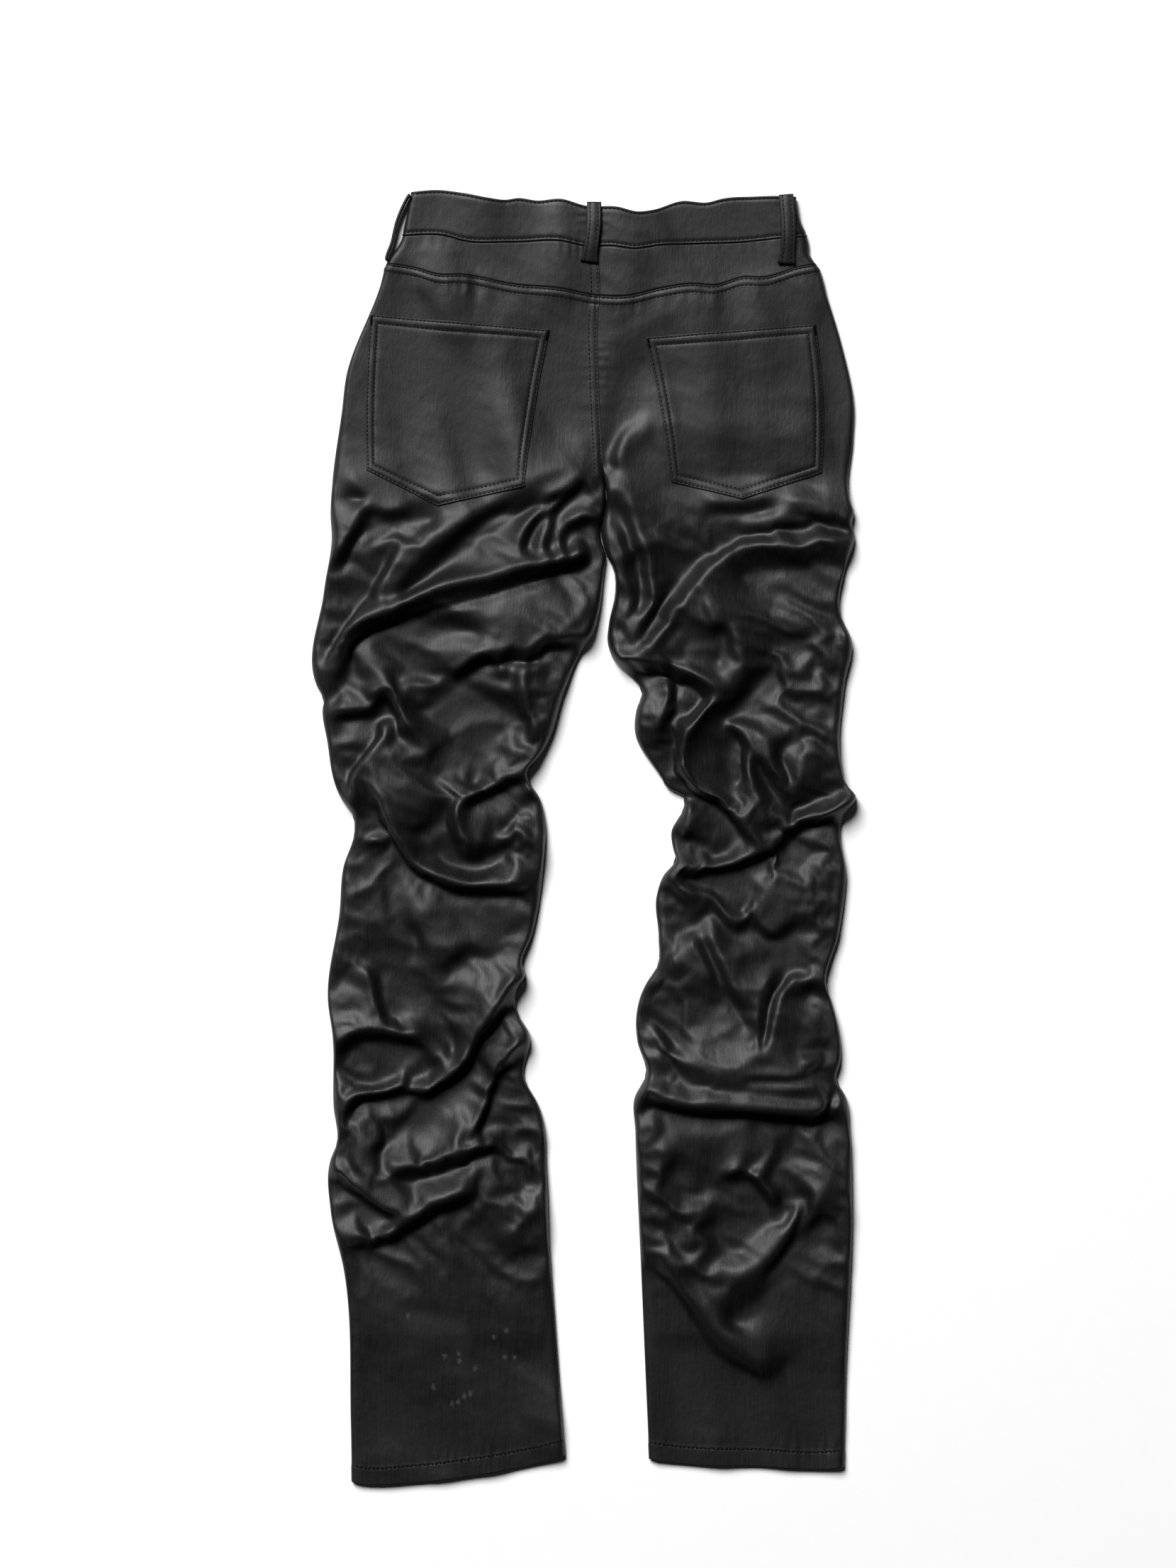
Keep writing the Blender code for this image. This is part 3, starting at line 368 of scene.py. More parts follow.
# How much loose cloth each leg holds down its length, as (y, share).
LEFT_SLACK = [(260, 0.45), (200, 0.3), (130, 0.65), (60, 0.8), (0, 0.75), (-60, 0.15),
              (-130, 0.25), (-200, 0.8), (-270, 0.85), (-330, 0.3), (-380, 0.05)]
RIGHT_SLACK = [(260, 0.5), (200, 0.3), (130, 0.75), (50, 0.95), (-20, 0.8), (-80, 0.35),
               (-150, 0.45), (-205, 0.4), (-240, 0.15), (-290, 0.45), (-350, 0.25), (-410, 0.05)]

Leg = namedtuple("Leg", "side inseam hem slack")
LEFT_LEG = Leg(LEFT_SIDE, LEFT_INSEAM, LEFT_HEM, LEFT_SLACK)
RIGHT_LEG = Leg(RIGHT_SIDE, RIGHT_INSEAM, RIGHT_HEM, RIGHT_SLACK)
BOTH = (LEFT_LEG, RIGHT_LEG)

# Height of the laid tube down its length, as (y, height).
CROWNS = [(530, 6), (440, 6), (340, 7), (230, 8.5), (60, 8.5), (-60, 8), (-200, 8),
          (-340, 7.8), (-420, 7.2), (-530, 5.6)]

# A fold's crest (or a trough's bottom, where rise is negative), and the half width of its top.
# Where foot is given, the cloth drops to the right of the crest over that distance to sink, and
# tuck is how far the foot is drawn back under the crest.
Fold = namedtuple("Fold", "crest rise round foot sink tuck", defaults=(4, 0, 0, 0))

LEFT_FOLDS = [
    # hip
    Fold([(-205, 222), (-195, 240), (-180, 272)], 6, 3, 8, -3, 5),
    Fold([(-196, 277), (-181, 275)], -3, 3),
    Fold([(-180, 275), (-165, 266), (-145, 268)], 3, 3),
    Fold([(-190, 294), (-180, 279)], 3, 3),
    Fold([(-200, 215), (-180, 248), (-150, 257), (-120, 256)], -4, 5),
    Fold([(-165, 190), (-145, 225), (-115, 250)], 6, 11),
    Fold([(-215, 140), (-185, 190), (-155, 232)], -4, 4),
    Fold([(-150, 215), (-112, 252), (-60, 283), (-8, 305)], 6, 8, 15, -4, 3),
    Fold([(-150, 195), (-120, 217), (-90, 248), (-60, 268)], -4, 6),
    # creases that fan from the crotch
    Fold([(-50, 223), (-55, 235), (-45, 258), (-20, 283), (0, 298)], 7, 3, 7, -3, 5),
    Fold([(-35, 222), (-36, 240), (-25, 268), (-2, 290)], 6, 3, 7, -4, 5),
    Fold([(-22, 224), (-24, 240), (-17, 256), (5, 262), (12, 262)], 4, 3, 7, -5, 4),
    Fold([(0, 262), (2, 240), (7, 222)], -6, 4),
    Fold([(-22, 215), (0, 216)], -3, 3),
    Fold([(2, 292), (8, 280), (4, 268)], 3, 3),
    Fold([(12, 290), (6, 274), (12, 264)], -3, 3),
    # thigh
    Fold([(-210, 140), (-190, 168), (-160, 183), (-120, 200), (-80, 212), (-45, 222), (8, 235)],
         12, 6, 11, -5, 9),
    Fold([(-205, 130), (-195, 150), (-180, 165), (-145, 177)], 4, 3, 7, -3, 4),
    Fold([(-150, 178), (-100, 190), (-20, 210)], 2.5, 7),
    Fold([(-140, 162), (-120, 171), (-85, 167)], -3, 4),
    Fold([(-110, 132), (-85, 149), (-70, 153), (-45, 155), (-35, 161), (6, 166)],
         7, 4, 9, -4, 6),
    Fold([(-45, 155), (-50, 130), (-47, 105), (-40, 80)], 5, 4, 8, -2, 2),
    Fold([(-35, 150), (-42, 130), (-38, 105)], 3, 3),
    Fold([(-70, 146), (-68, 133)], 3, 3),
    Fold([(-95, 125), (-60, 95), (-45, 85)], -3, 9),
    Fold([(-165, 140), (-145, 122)], -2.5, 4),
    Fold([(-140, 135), (-120, 128)], -2.5, 4),
    # above the knee
    Fold([(-214, 104), (-200, 120), (-182, 150)], -3, 3),
    Fold([(-180, 115), (-160, 119), (-150, 102), (-138, 84)], 8, 4, 9, -5, 7),
    Fold([(-155, 121), (-118, 122)], 3, 3),
    Fold([(-137, 100), (-110, 115), (-97, 132)], -4, 3),
    Fold([(-205, 104), (-185, 105), (-168, 107)], 4, 4, 8, -5, 3),
    Fold([(-195, 94), (-172, 95), (-160, 100)], -5, 4),
    Fold([(-159, 88), (-168, 72), (-185, 48), (-190, 22)], 5, 4, 8, -3, 4),
    Fold([(-172, 88), (-158, 88), (-150, 78)], 3, 3),
    Fold([(-88, 70), (-90, 42)], -4, 5),
    Fold([(-102, 29), (-90, 36), (-55, 52), (-38, 64)], 6, 4, 7, -4, 5),
    Fold([(-62, 50), (-58, 22)], -3, 4),
    Fold([(-38, 33), (-55, 20), (-68, 2)], -4, 4),
    Fold([(-48, 50), (-42, 34)], 4, 6),
    # knee
    Fold([(-175, 38), (-163, 33), (-157, 18), (-150, 2), (-135, -20), (-100, -36), (-45, -38)],
         9, 5, 10, -4, 8),
    Fold([(-165, 12), (-185, 17)], -3, 3),
    Fold([(-165, 12), (-178, 0), (-193, -17)], -3, 3),
    Fold([(-178, -2), (-165, -2)], 2.5, 3),
    Fold([(-104, 28), (-100, 8), (-92, -12)], 8, 4, 9, -4, 6),
    Fold([(-95, 16), (-85, 2), (-90, -15)], 4, 3),
    Fold([(-120, -5), (-105, -18), (-85, -22), (-62, -8)], -6, 5),
    Fold([(-137, 4), (-120, 1), (-106, -14)], -3, 4),
    Fold([(-70, -2), (-55, 3), (-38, -10)], 3, 4),
    # calf
    Fold([(-138, -60), (-120, -82), (-104, -104)], 3, 11),
    Fold([(-140, -70), (-143, -100), (-165, -112), (-158, -155)], -3.5, 5),
    Fold([(-160, -164), (-170, -142), (-180, -106)], 4, 4, 9, -3, 2),
    Fold([(-190, -97), (-170, -98)], -2, 3),
    Fold([(-200, -73), (-188, -75)], -2, 3),
    Fold([(-210, -128), (-196, -112)], -3, 3),
    Fold([(-115, -108), (-80, -92), (-50, -75)], -3, 8),
    Fold([(-142, -131), (-128, -129), (-120, -145), (-108, -178)], -4, 5),
    Fold([(-206, -172), (-190, -158), (-165, -157), (-132, -160)], 7, 5, 10, -4, 6),
    Fold([(-205, -185), (-175, -201), (-152, -190)], -3, 4),
    Fold([(-150, -216), (-130, -205), (-106, -184), (-92, -162), (-72, -135), (-50, -108)],
         10, 5, 9, -6, 7),
    Fold([(-52, -118), (-70, -140)], 3, 3),
    Fold([(-50, -112), (-52, -124)], 4, 5),
    Fold([(-150, -203), (-125, -186)], -3, 3),
    Fold([(-198, -235), (-195, -218), (-185, -210), (-160, -203), (-130, -199)],
         7, 4, 8, -4, 6),
    Fold([(-180, -220), (-145, -212), (-130, -206)], -3, 3),
    Fold([(-175, -231), (-150, -228), (-138, -218)], 3, 3),
    Fold([(-95, -252), (-90, -235), (-76, -195), (-66, -181), (-48, -160)], 8, 3, 8, -5, 7),
    Fold([(-100, -258), (-88, -225), (-80, -200), (-76, -180)], 3, 4),
    Fold([(-155, -242), (-130, -216), (-112, -197)], -5, 5),
    # ankle
    Fold([(-196, -241), (-185, -231), (-172, -232), (-165, -245), (-177, -255)], 5, 4),
    Fold([(-166, -232), (-163, -250), (-172, -257)], -4, 3),
    Fold([(-207, -264), (-190, -280), (-162, -298), (-146, -303)], 6, 4, 9, -4, 5),
    Fold([(-163, -266), (-158, -281), (-142, -296)], 3, 4),
    Fold([(-162, -264), (-140, -266), (-105, -256), (-72, -246)], 6, 5, 11, -5, 6),
    Fold([(-185, -310), (-173, -321), (-152, -306)], -3, 4),
    Fold([(-195, -325), (-165, -320), (-145, -308), (-120, -294), (-92, -285)],
         8, 5, 11, -4, 6),
    Fold([(-58, -225), (-57, -258), (-50, -280), (-42, -287)], -5, 4),
    Fold([(-50, -264), (-32, -270)], -3, 4),
    Fold([(-60, -328), (-50, -312), (-38, -300)], 3, 5),
    Fold([(-80, -360), (-55, -344), (-30, -340)], -2.5, 6),
    Fold([(-197, -360), (-183, -400), (-172, -445), (-158, -495)], -3.2, 4),
    Fold([(-145, -385), (-100, -395)], -3, 9),
    Fold([(-60, -428), (-22, -430)], -2.4, 4),
    Fold([(-60, -435), (-58, -480)], -2.2, 5),
    Fold([(-180, -478), (-165, -490)], -2.4, 4),
]

RIGHT_FOLDS = [
    # seat
    Fold([(48, 388), (30, 360), (23, 330), (18, 296)], -5, 6),
    Fold([(22, 303), (34, 320), (55, 336)], 3, 9),
    Fold([(44, 318), (75, 328), (110, 333), (150, 334), (188, 328), (212, 318)],
         1.5, 14, 26, -0.7),
    Fold([(98, 274), (120, 273), (150, 277)], 3, 4, 8, -3, 2),
    Fold([(60, 425), (85, 438), (110, 430)], 1.5, 10),
    # thigh
    Fold([(38, 151), (52, 168), (72, 196), (92, 219), (116, 244), (138, 256), (162, 265)],
         -5, 9),
    Fold([(40, 143), (60, 164), (78, 190), (98, 214), (122, 236)], 8, 11),
    Fold([(17, 285), (33, 280), (40, 262), (52, 216), (54, 190), (40, 160), (30, 150)],
         5, 4, 9, -2, 2),
    Fold([(26, 255), (31, 225), (35, 185), (26, 152)], 4, 4),
    Fold([(40, 236), (44, 212), (42, 182)], -4, 4),
    Fold([(105, 266), (135, 263)], -2.5, 3),
    Fold([(165, 275), (188, 271), (203, 261), (218, 255)], 5, 4, 8, -3, 4),
    Fold([(200, 262), (215, 249)], -3, 3),
    Fold([(120, 251), (150, 259), (175, 262), (190, 265), (203, 260)], 4, 7, 9, -3, 4),
    Fold([(120, 231), (150, 236), (185, 238), (214, 242)], 6, 6, 14, -4, 3),
    Fold([(120, 180), (125, 150), (125, 125)], 2, 4),
    Fold([(130, 218), (150, 195), (172, 150)], -3, 10),
    Fold([(195, 215), (196, 195), (212, 166)], -3, 3),
    Fold([(212, 172), (217, 158)], 4, 4),
    Fold([(96, 196), (104, 182), (108, 168)], 6, 6),
    Fold([(108, 172), (111, 158), (105, 136)], -4, 4),
    Fold([(22, 145), (50, 143), (72, 138), (92, 130), (108, 118)], 9, 4, 9, -6, 8),
    Fold([(28, 137), (45, 132), (60, 131)], -3, 3),
    Fold([(160, 127), (190, 127)], -2, 3),
    Fold([(165, 110), (181, 111)], -2, 3),
    # knee
    Fold([(109, 114), (98, 105), (83, 84), (79, 66), (88, 47), (115, 28), (139, 2)],
         9, 4, 9, -5, 8),
    Fold([(76, 120), (75, 90), (76, 60)], -4, 4),
    Fold([(57, 86), (65, 108), (66, 122), (60, 131)], 5, 3, 7, -4, 4),
    Fold([(48, 116), (46, 98), (50, 86)], 3, 4),
    Fold([(75, 61), (66, 44), (57, 60)], -3, 3),
    Fold([(128, 84), (124, 66), (126, 42)], -8, 6),
    Fold([(121, 93), (133, 76), (136, 60), (131, 38)], 6, 3),
    Fold([(125, 92), (137, 78), (139, 42), (152, -6)], 6, 4),
    Fold([(125, 90), (145, 80), (155, 60), (170, 36)], 5, 4, 9, -3, 3),
    Fold([(121, 93), (136, 111), (155, 136)], -5, 4),
    Fold([(125, 95), (155, 100)], -2.5, 3),
    Fold([(165, 78), (162, 60), (170, 38)], -4, 4),
    Fold([(171, 36), (180, 73), (190, 66)], 3, 3),
    Fold([(165, 18), (200, 37), (213, 38)], -4, 4),
    Fold([(153, -7), (170, 13), (200, 22), (220, 32)], 8, 4, 9, -3, 6),
    Fold([(214, 33), (221, 34)], 4, 4),
    Fold([(68, -28), (100, -23), (120, -18), (140, -10), (153, -6)], 6, 4, 8, -4, 6),
    Fold([(100, -14), (117, -8)], -5, 4),
    Fold([(72, 3), (86, -3), (100, -8)], -6, 4),
    Fold([(84, 32), (83, 8), (76, -3)], 4, 3),
    Fold([(66, -29), (80, -42), (90, -52)], 5, 4, 9, -4, 5),
    Fold([(62, -47), (76, -62), (88, -78)], -5, 8),
    Fold([(82, -33), (110, -45)], -2.5, 3),
    # calf
    Fold([(92, -50), (100, -45), (122, -70), (137, -60), (153, -77), (170, -62)],
         4, 3, 7, -3, 3),
    Fold([(125, -61), (135, -50)], -2.5, 3),
    Fold([(93, -80), (108, -115), (120, -140), (133, -158)], -4, 4),
    Fold([(100, -78), (116, -112), (128, -138)], 3, 4),
    Fold([(85, -82), (105, -118)], 3, 3),
    Fold([(70, -95), (75, -110)], 3, 3),
    Fold([(64, -80), (66, -110), (52, -135)], -3, 3),
    Fold([(45, -143), (62, -155), (78, -172)], -3, 4),
    Fold([(55, -155), (78, -198)], 4, 4),
    Fold([(155, -108), (145, -125), (138, -165), (142, -184)], 5, 4),
    Fold([(175, -113), (160, -130), (145, -178)], 5, 4, 8, -2, 2),
    Fold([(166, -112), (153, -132), (142, -172)], -4, 3),
    Fold([(165, -110), (180, -107)], -2.5, 3),
    Fold([(184, -122), (184, -134)], -4, 5),
    Fold([(170, -126), (184, -116), (197, -122)], 3, 3),
    Fold([(125, -186), (150, -187), (170, -186), (192, -180)], 4, 4, 8, -2, 3),
    Fold([(165, -175), (200, -170)], -2, 5),
    Fold([(44, -206), (70, -212), (110, -216), (150, -219), (190, -220), (210, -218)],
         12, 6, 12, -5, 10),
    Fold([(55, -186), (85, -190), (120, -196), (190, -203)], 7, 13),
    Fold([(206, -200), (196, -225), (185, -238)], -3, 3),
    # ankle
    Fold([(50, -231), (58, -240), (46, -250)], 3, 4),
    Fold([(65, -250), (58, -280), (57, -300)], 3.5, 5),
    Fold([(68, -265), (85, -288), (112, -285), (135, -268), (155, -245), (157, -232)],
         -3, 5),
    Fold([(86, -300), (94, -345), (108, -385)], 5, 14),
    Fold([(195, -225), (165, -258), (146, -283)], -3.5, 4),
    Fold([(112, -276), (128, -272), (139, -278), (156, -298)], 6, 3, 8, -6, 6),
    Fold([(124, -283), (130, -303)], -4, 4),
    Fold([(123, -307), (145, -320)], -3.5, 4),
    Fold([(160, -294), (163, -310)], -3, 4),
    Fold([(182, -290), (172, -325), (148, -362)], -5, 5),
    Fold([(200, -310), (175, -345), (145, -380), (120, -395), (110, -390)], -5, 8),
    Fold([(196, -285), (168, -322), (136, -352), (112, -362)], 5, 8),
    Fold([(90, -315), (130, -338)], -2.5, 7),
    Fold([(48, -352), (68, -382), (95, -425), (143, -458)], -6, 11),
    Fold([(62, -332), (84, -366), (112, -404), (150, -434)], 6, 9),
    Fold([(50, -440), (70, -478)], -3, 5),
    Fold([(78, -478), (110, -480)], -2.4, 4),
    Fold([(165, -430), (163, -445)], -3, 4),
]

# Corners of each back pocket, and how far the middle of its left and right edge stands outside
# the straight line.
Pocket = namedtuple("Pocket", "top_left top_right low_right point low_left bow")
POCKETS = {
    "left": Pocket((-176, 427), (-29, 414.5), (-50, 285), (-120, 269.5), (-178.5, 299),
                   (2.0, -2.0)),
    "right": Pocket((49, 408), (188, 419), (193, 297), (128, 275), (70, 289.5), (-2.0, 3.5)),
}

CENTRE_LOOP = [(7, 518), (6.8, 500), (5, 484), (3, 469)]
RIGHT_LOOP = [(163.5, 524), (165, 505), (165.2, 486), (164, 467.5)]
SIDE_LOOP_Y = (524, 471)
SIDE_LOOP_Z = (0.6, 9.4)
SIDE_LOOP_BOW = 6.6
SIDE_LOOP_ROWS = 40

# Where rows of thread start and end, in x across the garment and in y down the centre seam.
YOKE_THREAD = {"left": (-158.0, 9.0), "right": (13.0, 184.0)}
CENTRE_THREADS = ((480, 444), (431, CROTCH_Y))
WAIST_TOP_THREAD, WAIST_SEAM_THREAD = (-139, 168), (-149, 178)

# Small pale scuffs low on the left leg, as (x, y).
SCUFFS = [(-145, -390), (-115, -424), (-104, -422), (-103, -428), (-90, -434), (-66, -425),
          (-58, -425), (-124, -449), (-109, -463), (-104, -461), (-99, -457), (-94, -454),
          (-65, -403), (-75, -408)]


def curve_through(points, x):
    """A smooth curve through (x, y) points, read at x. The ends carry on level."""
    px, py = (np.array(c, float) for c in zip(*sorted(points)))
    slope = np.gradient(py, px)
    x = np.clip(np.asarray(x, float), px[0], px[-1])
    i = np.clip(np.searchsorted(px, x) - 1, 0, len(px) - 2)
    width = px[i + 1] - px[i]
    t = (x - px[i]) / width
    return (
        (2 * t**3 - 3 * t**2 + 1) * py[i]
        + (t**3 - 2 * t**2 + t) * width * slope[i]
        + (3 * t**2 - 2 * t**3) * py[i + 1]
        + (t**3 - t**2) * width * slope[i + 1]
    )


def smooth_line(points, pieces=5):
    """Points along a smooth line through the given ones (Catmull-Rom)."""
    p = np.array(points, float)
    p = np.vstack([2 * p[0] - p[1], p, 2 * p[-1] - p[-2]])
    line = []
    for a, b, c, d in zip(p, p[1:], p[2:], p[3:]):
        for t in np.arange(pieces) / pieces:
            line.append(0.5 * (2 * b + (c - a) * t + (2 * a - 5 * b + 4 * c - d) * t**2
                               + (3 * b - a - 3 * c + d) * t**3))
    return np.array(line + [p[-2]])


def fade(t):
    """0 below t = 0, 1 above t = 1, smooth between."""
    t = np.clip(t, 0, 1)
    return t * t * (3 - 2 * t)


def edges_at(leg, y):
    """(side seam x, inner x) of a leg: inner is the inseam below the crotch and the centre
    back seam above it."""
    inner = np.where(np.asarray(y) > CROTCH_Y, curve_through(CENTRE_SEAM, y),
                     curve_through(leg.inseam, y))
    return curve_through(leg.side, y), inner


def stacked_at(y):
    """How far the cloth at y is stacked: 0 at the seat and the hems, 1 between."""
    return fade((STACK_TOP - y) / STACK_EASE) * fade((y - STACK_LOW) / STACK_EASE)


def parted_at(y):
    """How far the legs are apart at y: 0 at the seat, 1 below the crotch."""
    return fade((CROTCH_Y + CROTCH_FADE - y) / (2 * CROTCH_FADE))


def seam_height(y):
    return SEAM_SHARE * curve_through(CROWNS, y)


def nearest_on(line, points):
    """For each point: its distance to the line, whether it lies to the right of it, where along
    the line the nearest place is (0 to 1), and the unit vector to the line's right there."""
    best = np.full(len(points), np.inf)
    right = np.zeros(len(points), bool)
    along = np.zeros(len(points))
    rightward = np.zeros((len(points), 2))
    run = np.r_[0, np.cumsum(np.linalg.norm(np.diff(line, axis=0), axis=1))]
    for k, (a, b) in enumerate(zip(line, line[1:])):
        d = b - a
        size = max(np.hypot(*d), TINY)
        t = np.clip(((points - a) @ d) / size**2, 0, 1)
        gap = points - (a + t[:, None] * d)
        off = np.hypot(gap[:, 0], gap[:, 1])
        closer = off < best
        best = np.where(closer, off, best)
        right = np.where(closer, d[0] * gap[:, 1] - d[1] * gap[:, 0] < 0, right)
        along = np.where(closer, (run[k] + t * (run[k + 1] - run[k])) / run[-1], along)
        rightward[closer] = (d[1] / size, -d[0] / size)
    return best, right, along, rightward


class Skin:
    """The folds as a displacement of the crown in x, y and z, solved like a tight skin that is
    held along their crests and feet."""

    SPREAD = 34.0
    HOLD = 6.0
    ROUNDS = 700
    SOFTEN = 4
    TAPER = 0.24  # share of a line's length over which it comes in at each end
    ROUNDING = 0.35
    FOOT_BAND = 1.2  # how wide a foot is held, in steps of the grid
    FOOT_SPREAD = 1.5  # the drop from crest to foot is this much wider than written
    TUCK_SHARE = 0.6
    GROWTH = 1.2  # folds stand higher and lie deeper than their written rise, to fit the shading

    def __init__(self, step):
        self.step = step
        self.x, self.y = (np.arange(-reach, reach + step, step) for reach in SKIN_REACH)
        gx, gy = np.meshgrid(self.x, self.y, indexing="ij")
        middle = (edges_at(LEFT_LEG, gy)[1] + edges_at(RIGHT_LEG, gy)[1]) / 2
        self.left = gx < middle
        self.parted = gy <= CROTCH_Y
        self.grid = gx, gy
        self.hold = np.zeros_like(gx)
        self.aim = np.zeros((3, *gx.shape))
        for folds, own in ((LEFT_FOLDS, self.left), (RIGHT_FOLDS, ~self.left)):
            for fold in folds:
                self.draw(fold, own)
        self.shift = self.settle()
        self.shift[2] += self.unevenness()

    def draw(self, fold, own):
        """Holds the skin along a fold's crest and, where it has one, along its foot."""
        line = smooth_line(fold.crest)
        gx, gy = self.grid
        foot = fold.foot * self.FOOT_SPREAD
        reach = max(fold.round, self.step) + foot + self.step
        near = (own & (gx > line[:, 0].min() - reach) & (gx < line[:, 0].max() + reach)
                & (gy > line[:, 1].min() - reach) & (gy < line[:, 1].max() + reach))
        off, right, along, rightward = nearest_on(line, np.stack([gx[near], gy[near]], 1))
        taper = fade(along / self.TAPER) * fade((1 - along) / self.TAPER)
        cap = np.clip(1 - (off / max(fold.round, self.step)) ** 2, 0, 1)
        rise = self.GROWTH * fold.rise * (1 - self.ROUNDING * (1 - cap))
        self.add(near, self.HOLD * taper * cap, np.stack([0 * rise, 0 * rise, rise]))
        if fold.foot:
            from_foot = np.where(right, np.abs(off - foot), np.inf)
            cap = np.clip(1 - (from_foot / (self.step * self.FOOT_BAND)) ** 2, 0, 1)
            tuck = -self.TUCK_SHARE * fold.tuck * rightward.T
            self.add(near, self.HOLD * taper * cap,
                     np.stack([tuck[0], tuck[1], np.full_like(off, self.GROWTH * fold.sink)]))

    def add(self, near, weight, aim):
        hold = self.hold[near]
        self.aim[:, near] = ((self.aim[:, near] * hold + aim * weight)
                             / np.maximum(hold + weight, TINY))
        self.hold[near] = hold + weight

    def settle(self):
        """Relaxes the skin between the lines, each leg by itself below the crotch."""
        left, parted = self.left, self.parted
        along_x = 1.0 - ((left[1:] != left[:-1]) & parted[1:])
        along_y = 1.0 - ((left[:, 1:] != left[:, :-1]) & parted[:, 1:])
        screen = (self.step / self.SPREAD) ** 2

        def around(shift):
            total = np.zeros_like(shift)
            total[..., 1:, :] += along_x * shift[..., :-1, :]
            total[..., :-1, :] += along_x * shift[..., 1:, :]
            total[..., 1:] += along_y * shift[..., :-1]
            total[..., :-1] += along_y * shift[..., 1:]
            return total

        links = around(np.ones_like(self.hold))
        shift = self.aim * (self.hold > 0)
        pull = self.hold * self.aim
        share = 1 / (links + self.hold + screen)
        for _ in range(self.ROUNDS):
            shift = (around(shift) + pull) * share
        for _ in range(self.SOFTEN):
            shift = (around(shift) + links * shift) / (2 * links)
        return shift

    def unevenness(self):
        """Swells and fine creases between the folds, stronger where the legs are stacked."""
        gx, gy = self.grid
        stacked = stacked_at(gy)
        total = np.zeros_like(gx)
        for across, along, sharp, flat_rise, stacked_rise in UNEVEN_SCALES:
            field = np.array([[noise.noise(Vector((x / across + UNEVEN_SLANT * y / along,
                                                   y / along, across)))
                               for y in self.y] for x in self.x])
            if sharp:
                field = UNEVEN_CREST - sharp * np.abs(field)
            total += field * (flat_rise + (stacked_rise - flat_rise) * stacked)
        return total

    def at(self, x, y):
        """The displacement (3 x points) at points (x, y), read linearly from the grid."""
        i = (np.asarray(x) - self.x[0]) / self.step
        j = (np.asarray(y) - self.y[0]) / self.step
        i0 = np.clip(i.astype(int), 0, len(self.x) - 2)
        j0 = np.clip(j.astype(int), 0, len(self.y) - 2)
        a, b = i - i0, j - j0
        s = self.shift
        return ((1 - a) * (1 - b) * s[:, i0, j0] + a * (1 - b) * s[:, i0 + 1, j0]
                + (1 - a) * b * s[:, i0, j0 + 1] + a * b * s[:, i0 + 1, j0 + 1])


waist_top, waist_seam, yoke_seam = (partial(curve_through, edge)
                                    for edge in (WAIST_TOP, WAIST_SEAM, YOKE_SEAM))


def waist_front_top(x):
    """y of the front waistband's top edge, which dips between the sides."""
    left, right = WAIST_TOP[0], WAIST_TOP[-1]
    t = (x - left[0]) / (right[0] - left[0])
    return left[1] - FRONT_SHORT + (right[1] - left[1]) * t - FRONT_DIP * 4 * t * (1 - t)


def front_lift(x, y):
    """How far the button underneath lifts the cloth."""
    off = np.hypot(x - BUTTON_X, y - waist_front_top(BUTTON_X) + WAIST_HEIGHT / 2)
    return BUTTON_RISE * fade((BUTTON_SPREAD - off) / (BUTTON_SPREAD - BUTTON_COVER))


def turned(distance, amount=1.0, width=EDGE_ROUND):
    """Share of full height at a distance from a folded edge. amount 0 is an edge left flat."""
    t = np.clip(distance / width, 0, 1)
    return 1 - amount * (1 - np.sqrt(1 - (1 - t) ** 2))


def puckers(x, y, leg):
    """Gathers of the cloth along its seams: across the yoke, the centre back and the hems."""
    def along(s, away, side):
        # The distance from gather to gather drifts along the seam, and so does their depth.
        phase = 2 * math.pi * (s / PUCKER_STEP + 0.9 * np.sin(s / 37 + side)
                               + 0.5 * np.sin(s / 16.3) + 0.2 * np.sin(s / 7.3))
        swell = np.sin(phase) * (0.5 + 0.5 * np.sin(s / 23 + 2 * side)) ** 1.5
        return PUCKER_SWELL * swell * np.exp(-(away / PUCKER_REACH) ** 2)

    below = yoke_seam(x) - FELL_WIDTH - BELOW_YOKE - y
    total = YOKE_PUCKER * along(x, below, 0.0)
    total += sum(gather.rise * np.exp(-((x - gather.x) / gather.half_width) ** 2
                                      - (below / GATHER_REACH) ** 2) for gather in YOKE_GATHERS)
    band = waist_seam(x)
    total += BAND_PUCKER * along(x, y - band + BELOW_BAND, 1.0) * (y < band + 3)
    centre = curve_through(CENTRE_SEAM, y)
    beside = np.min([np.abs(x - centre + offset) for offset in SEAT_PUCKERS_AT], axis=0)
    total += SEAT_PUCKER * along(y, beside, 2.0) * (y > CROTCH_Y)
    if leg:
        total += HEM_PUCKER * along(x, y - curve_through(leg.hem, x) - HEM_DEPTH - ABOVE_HEM, 3.0)
    return PUCKER * total


def pressed(inside, rows=TWIN_NEEDLE):
    """How deep the cloth is pulled in by rows of stitches that run inside an edge."""
    return STITCH_DENT * sum(np.exp(-((inside - row) / STITCH_DENT_WIDTH) ** 2) for row in rows)


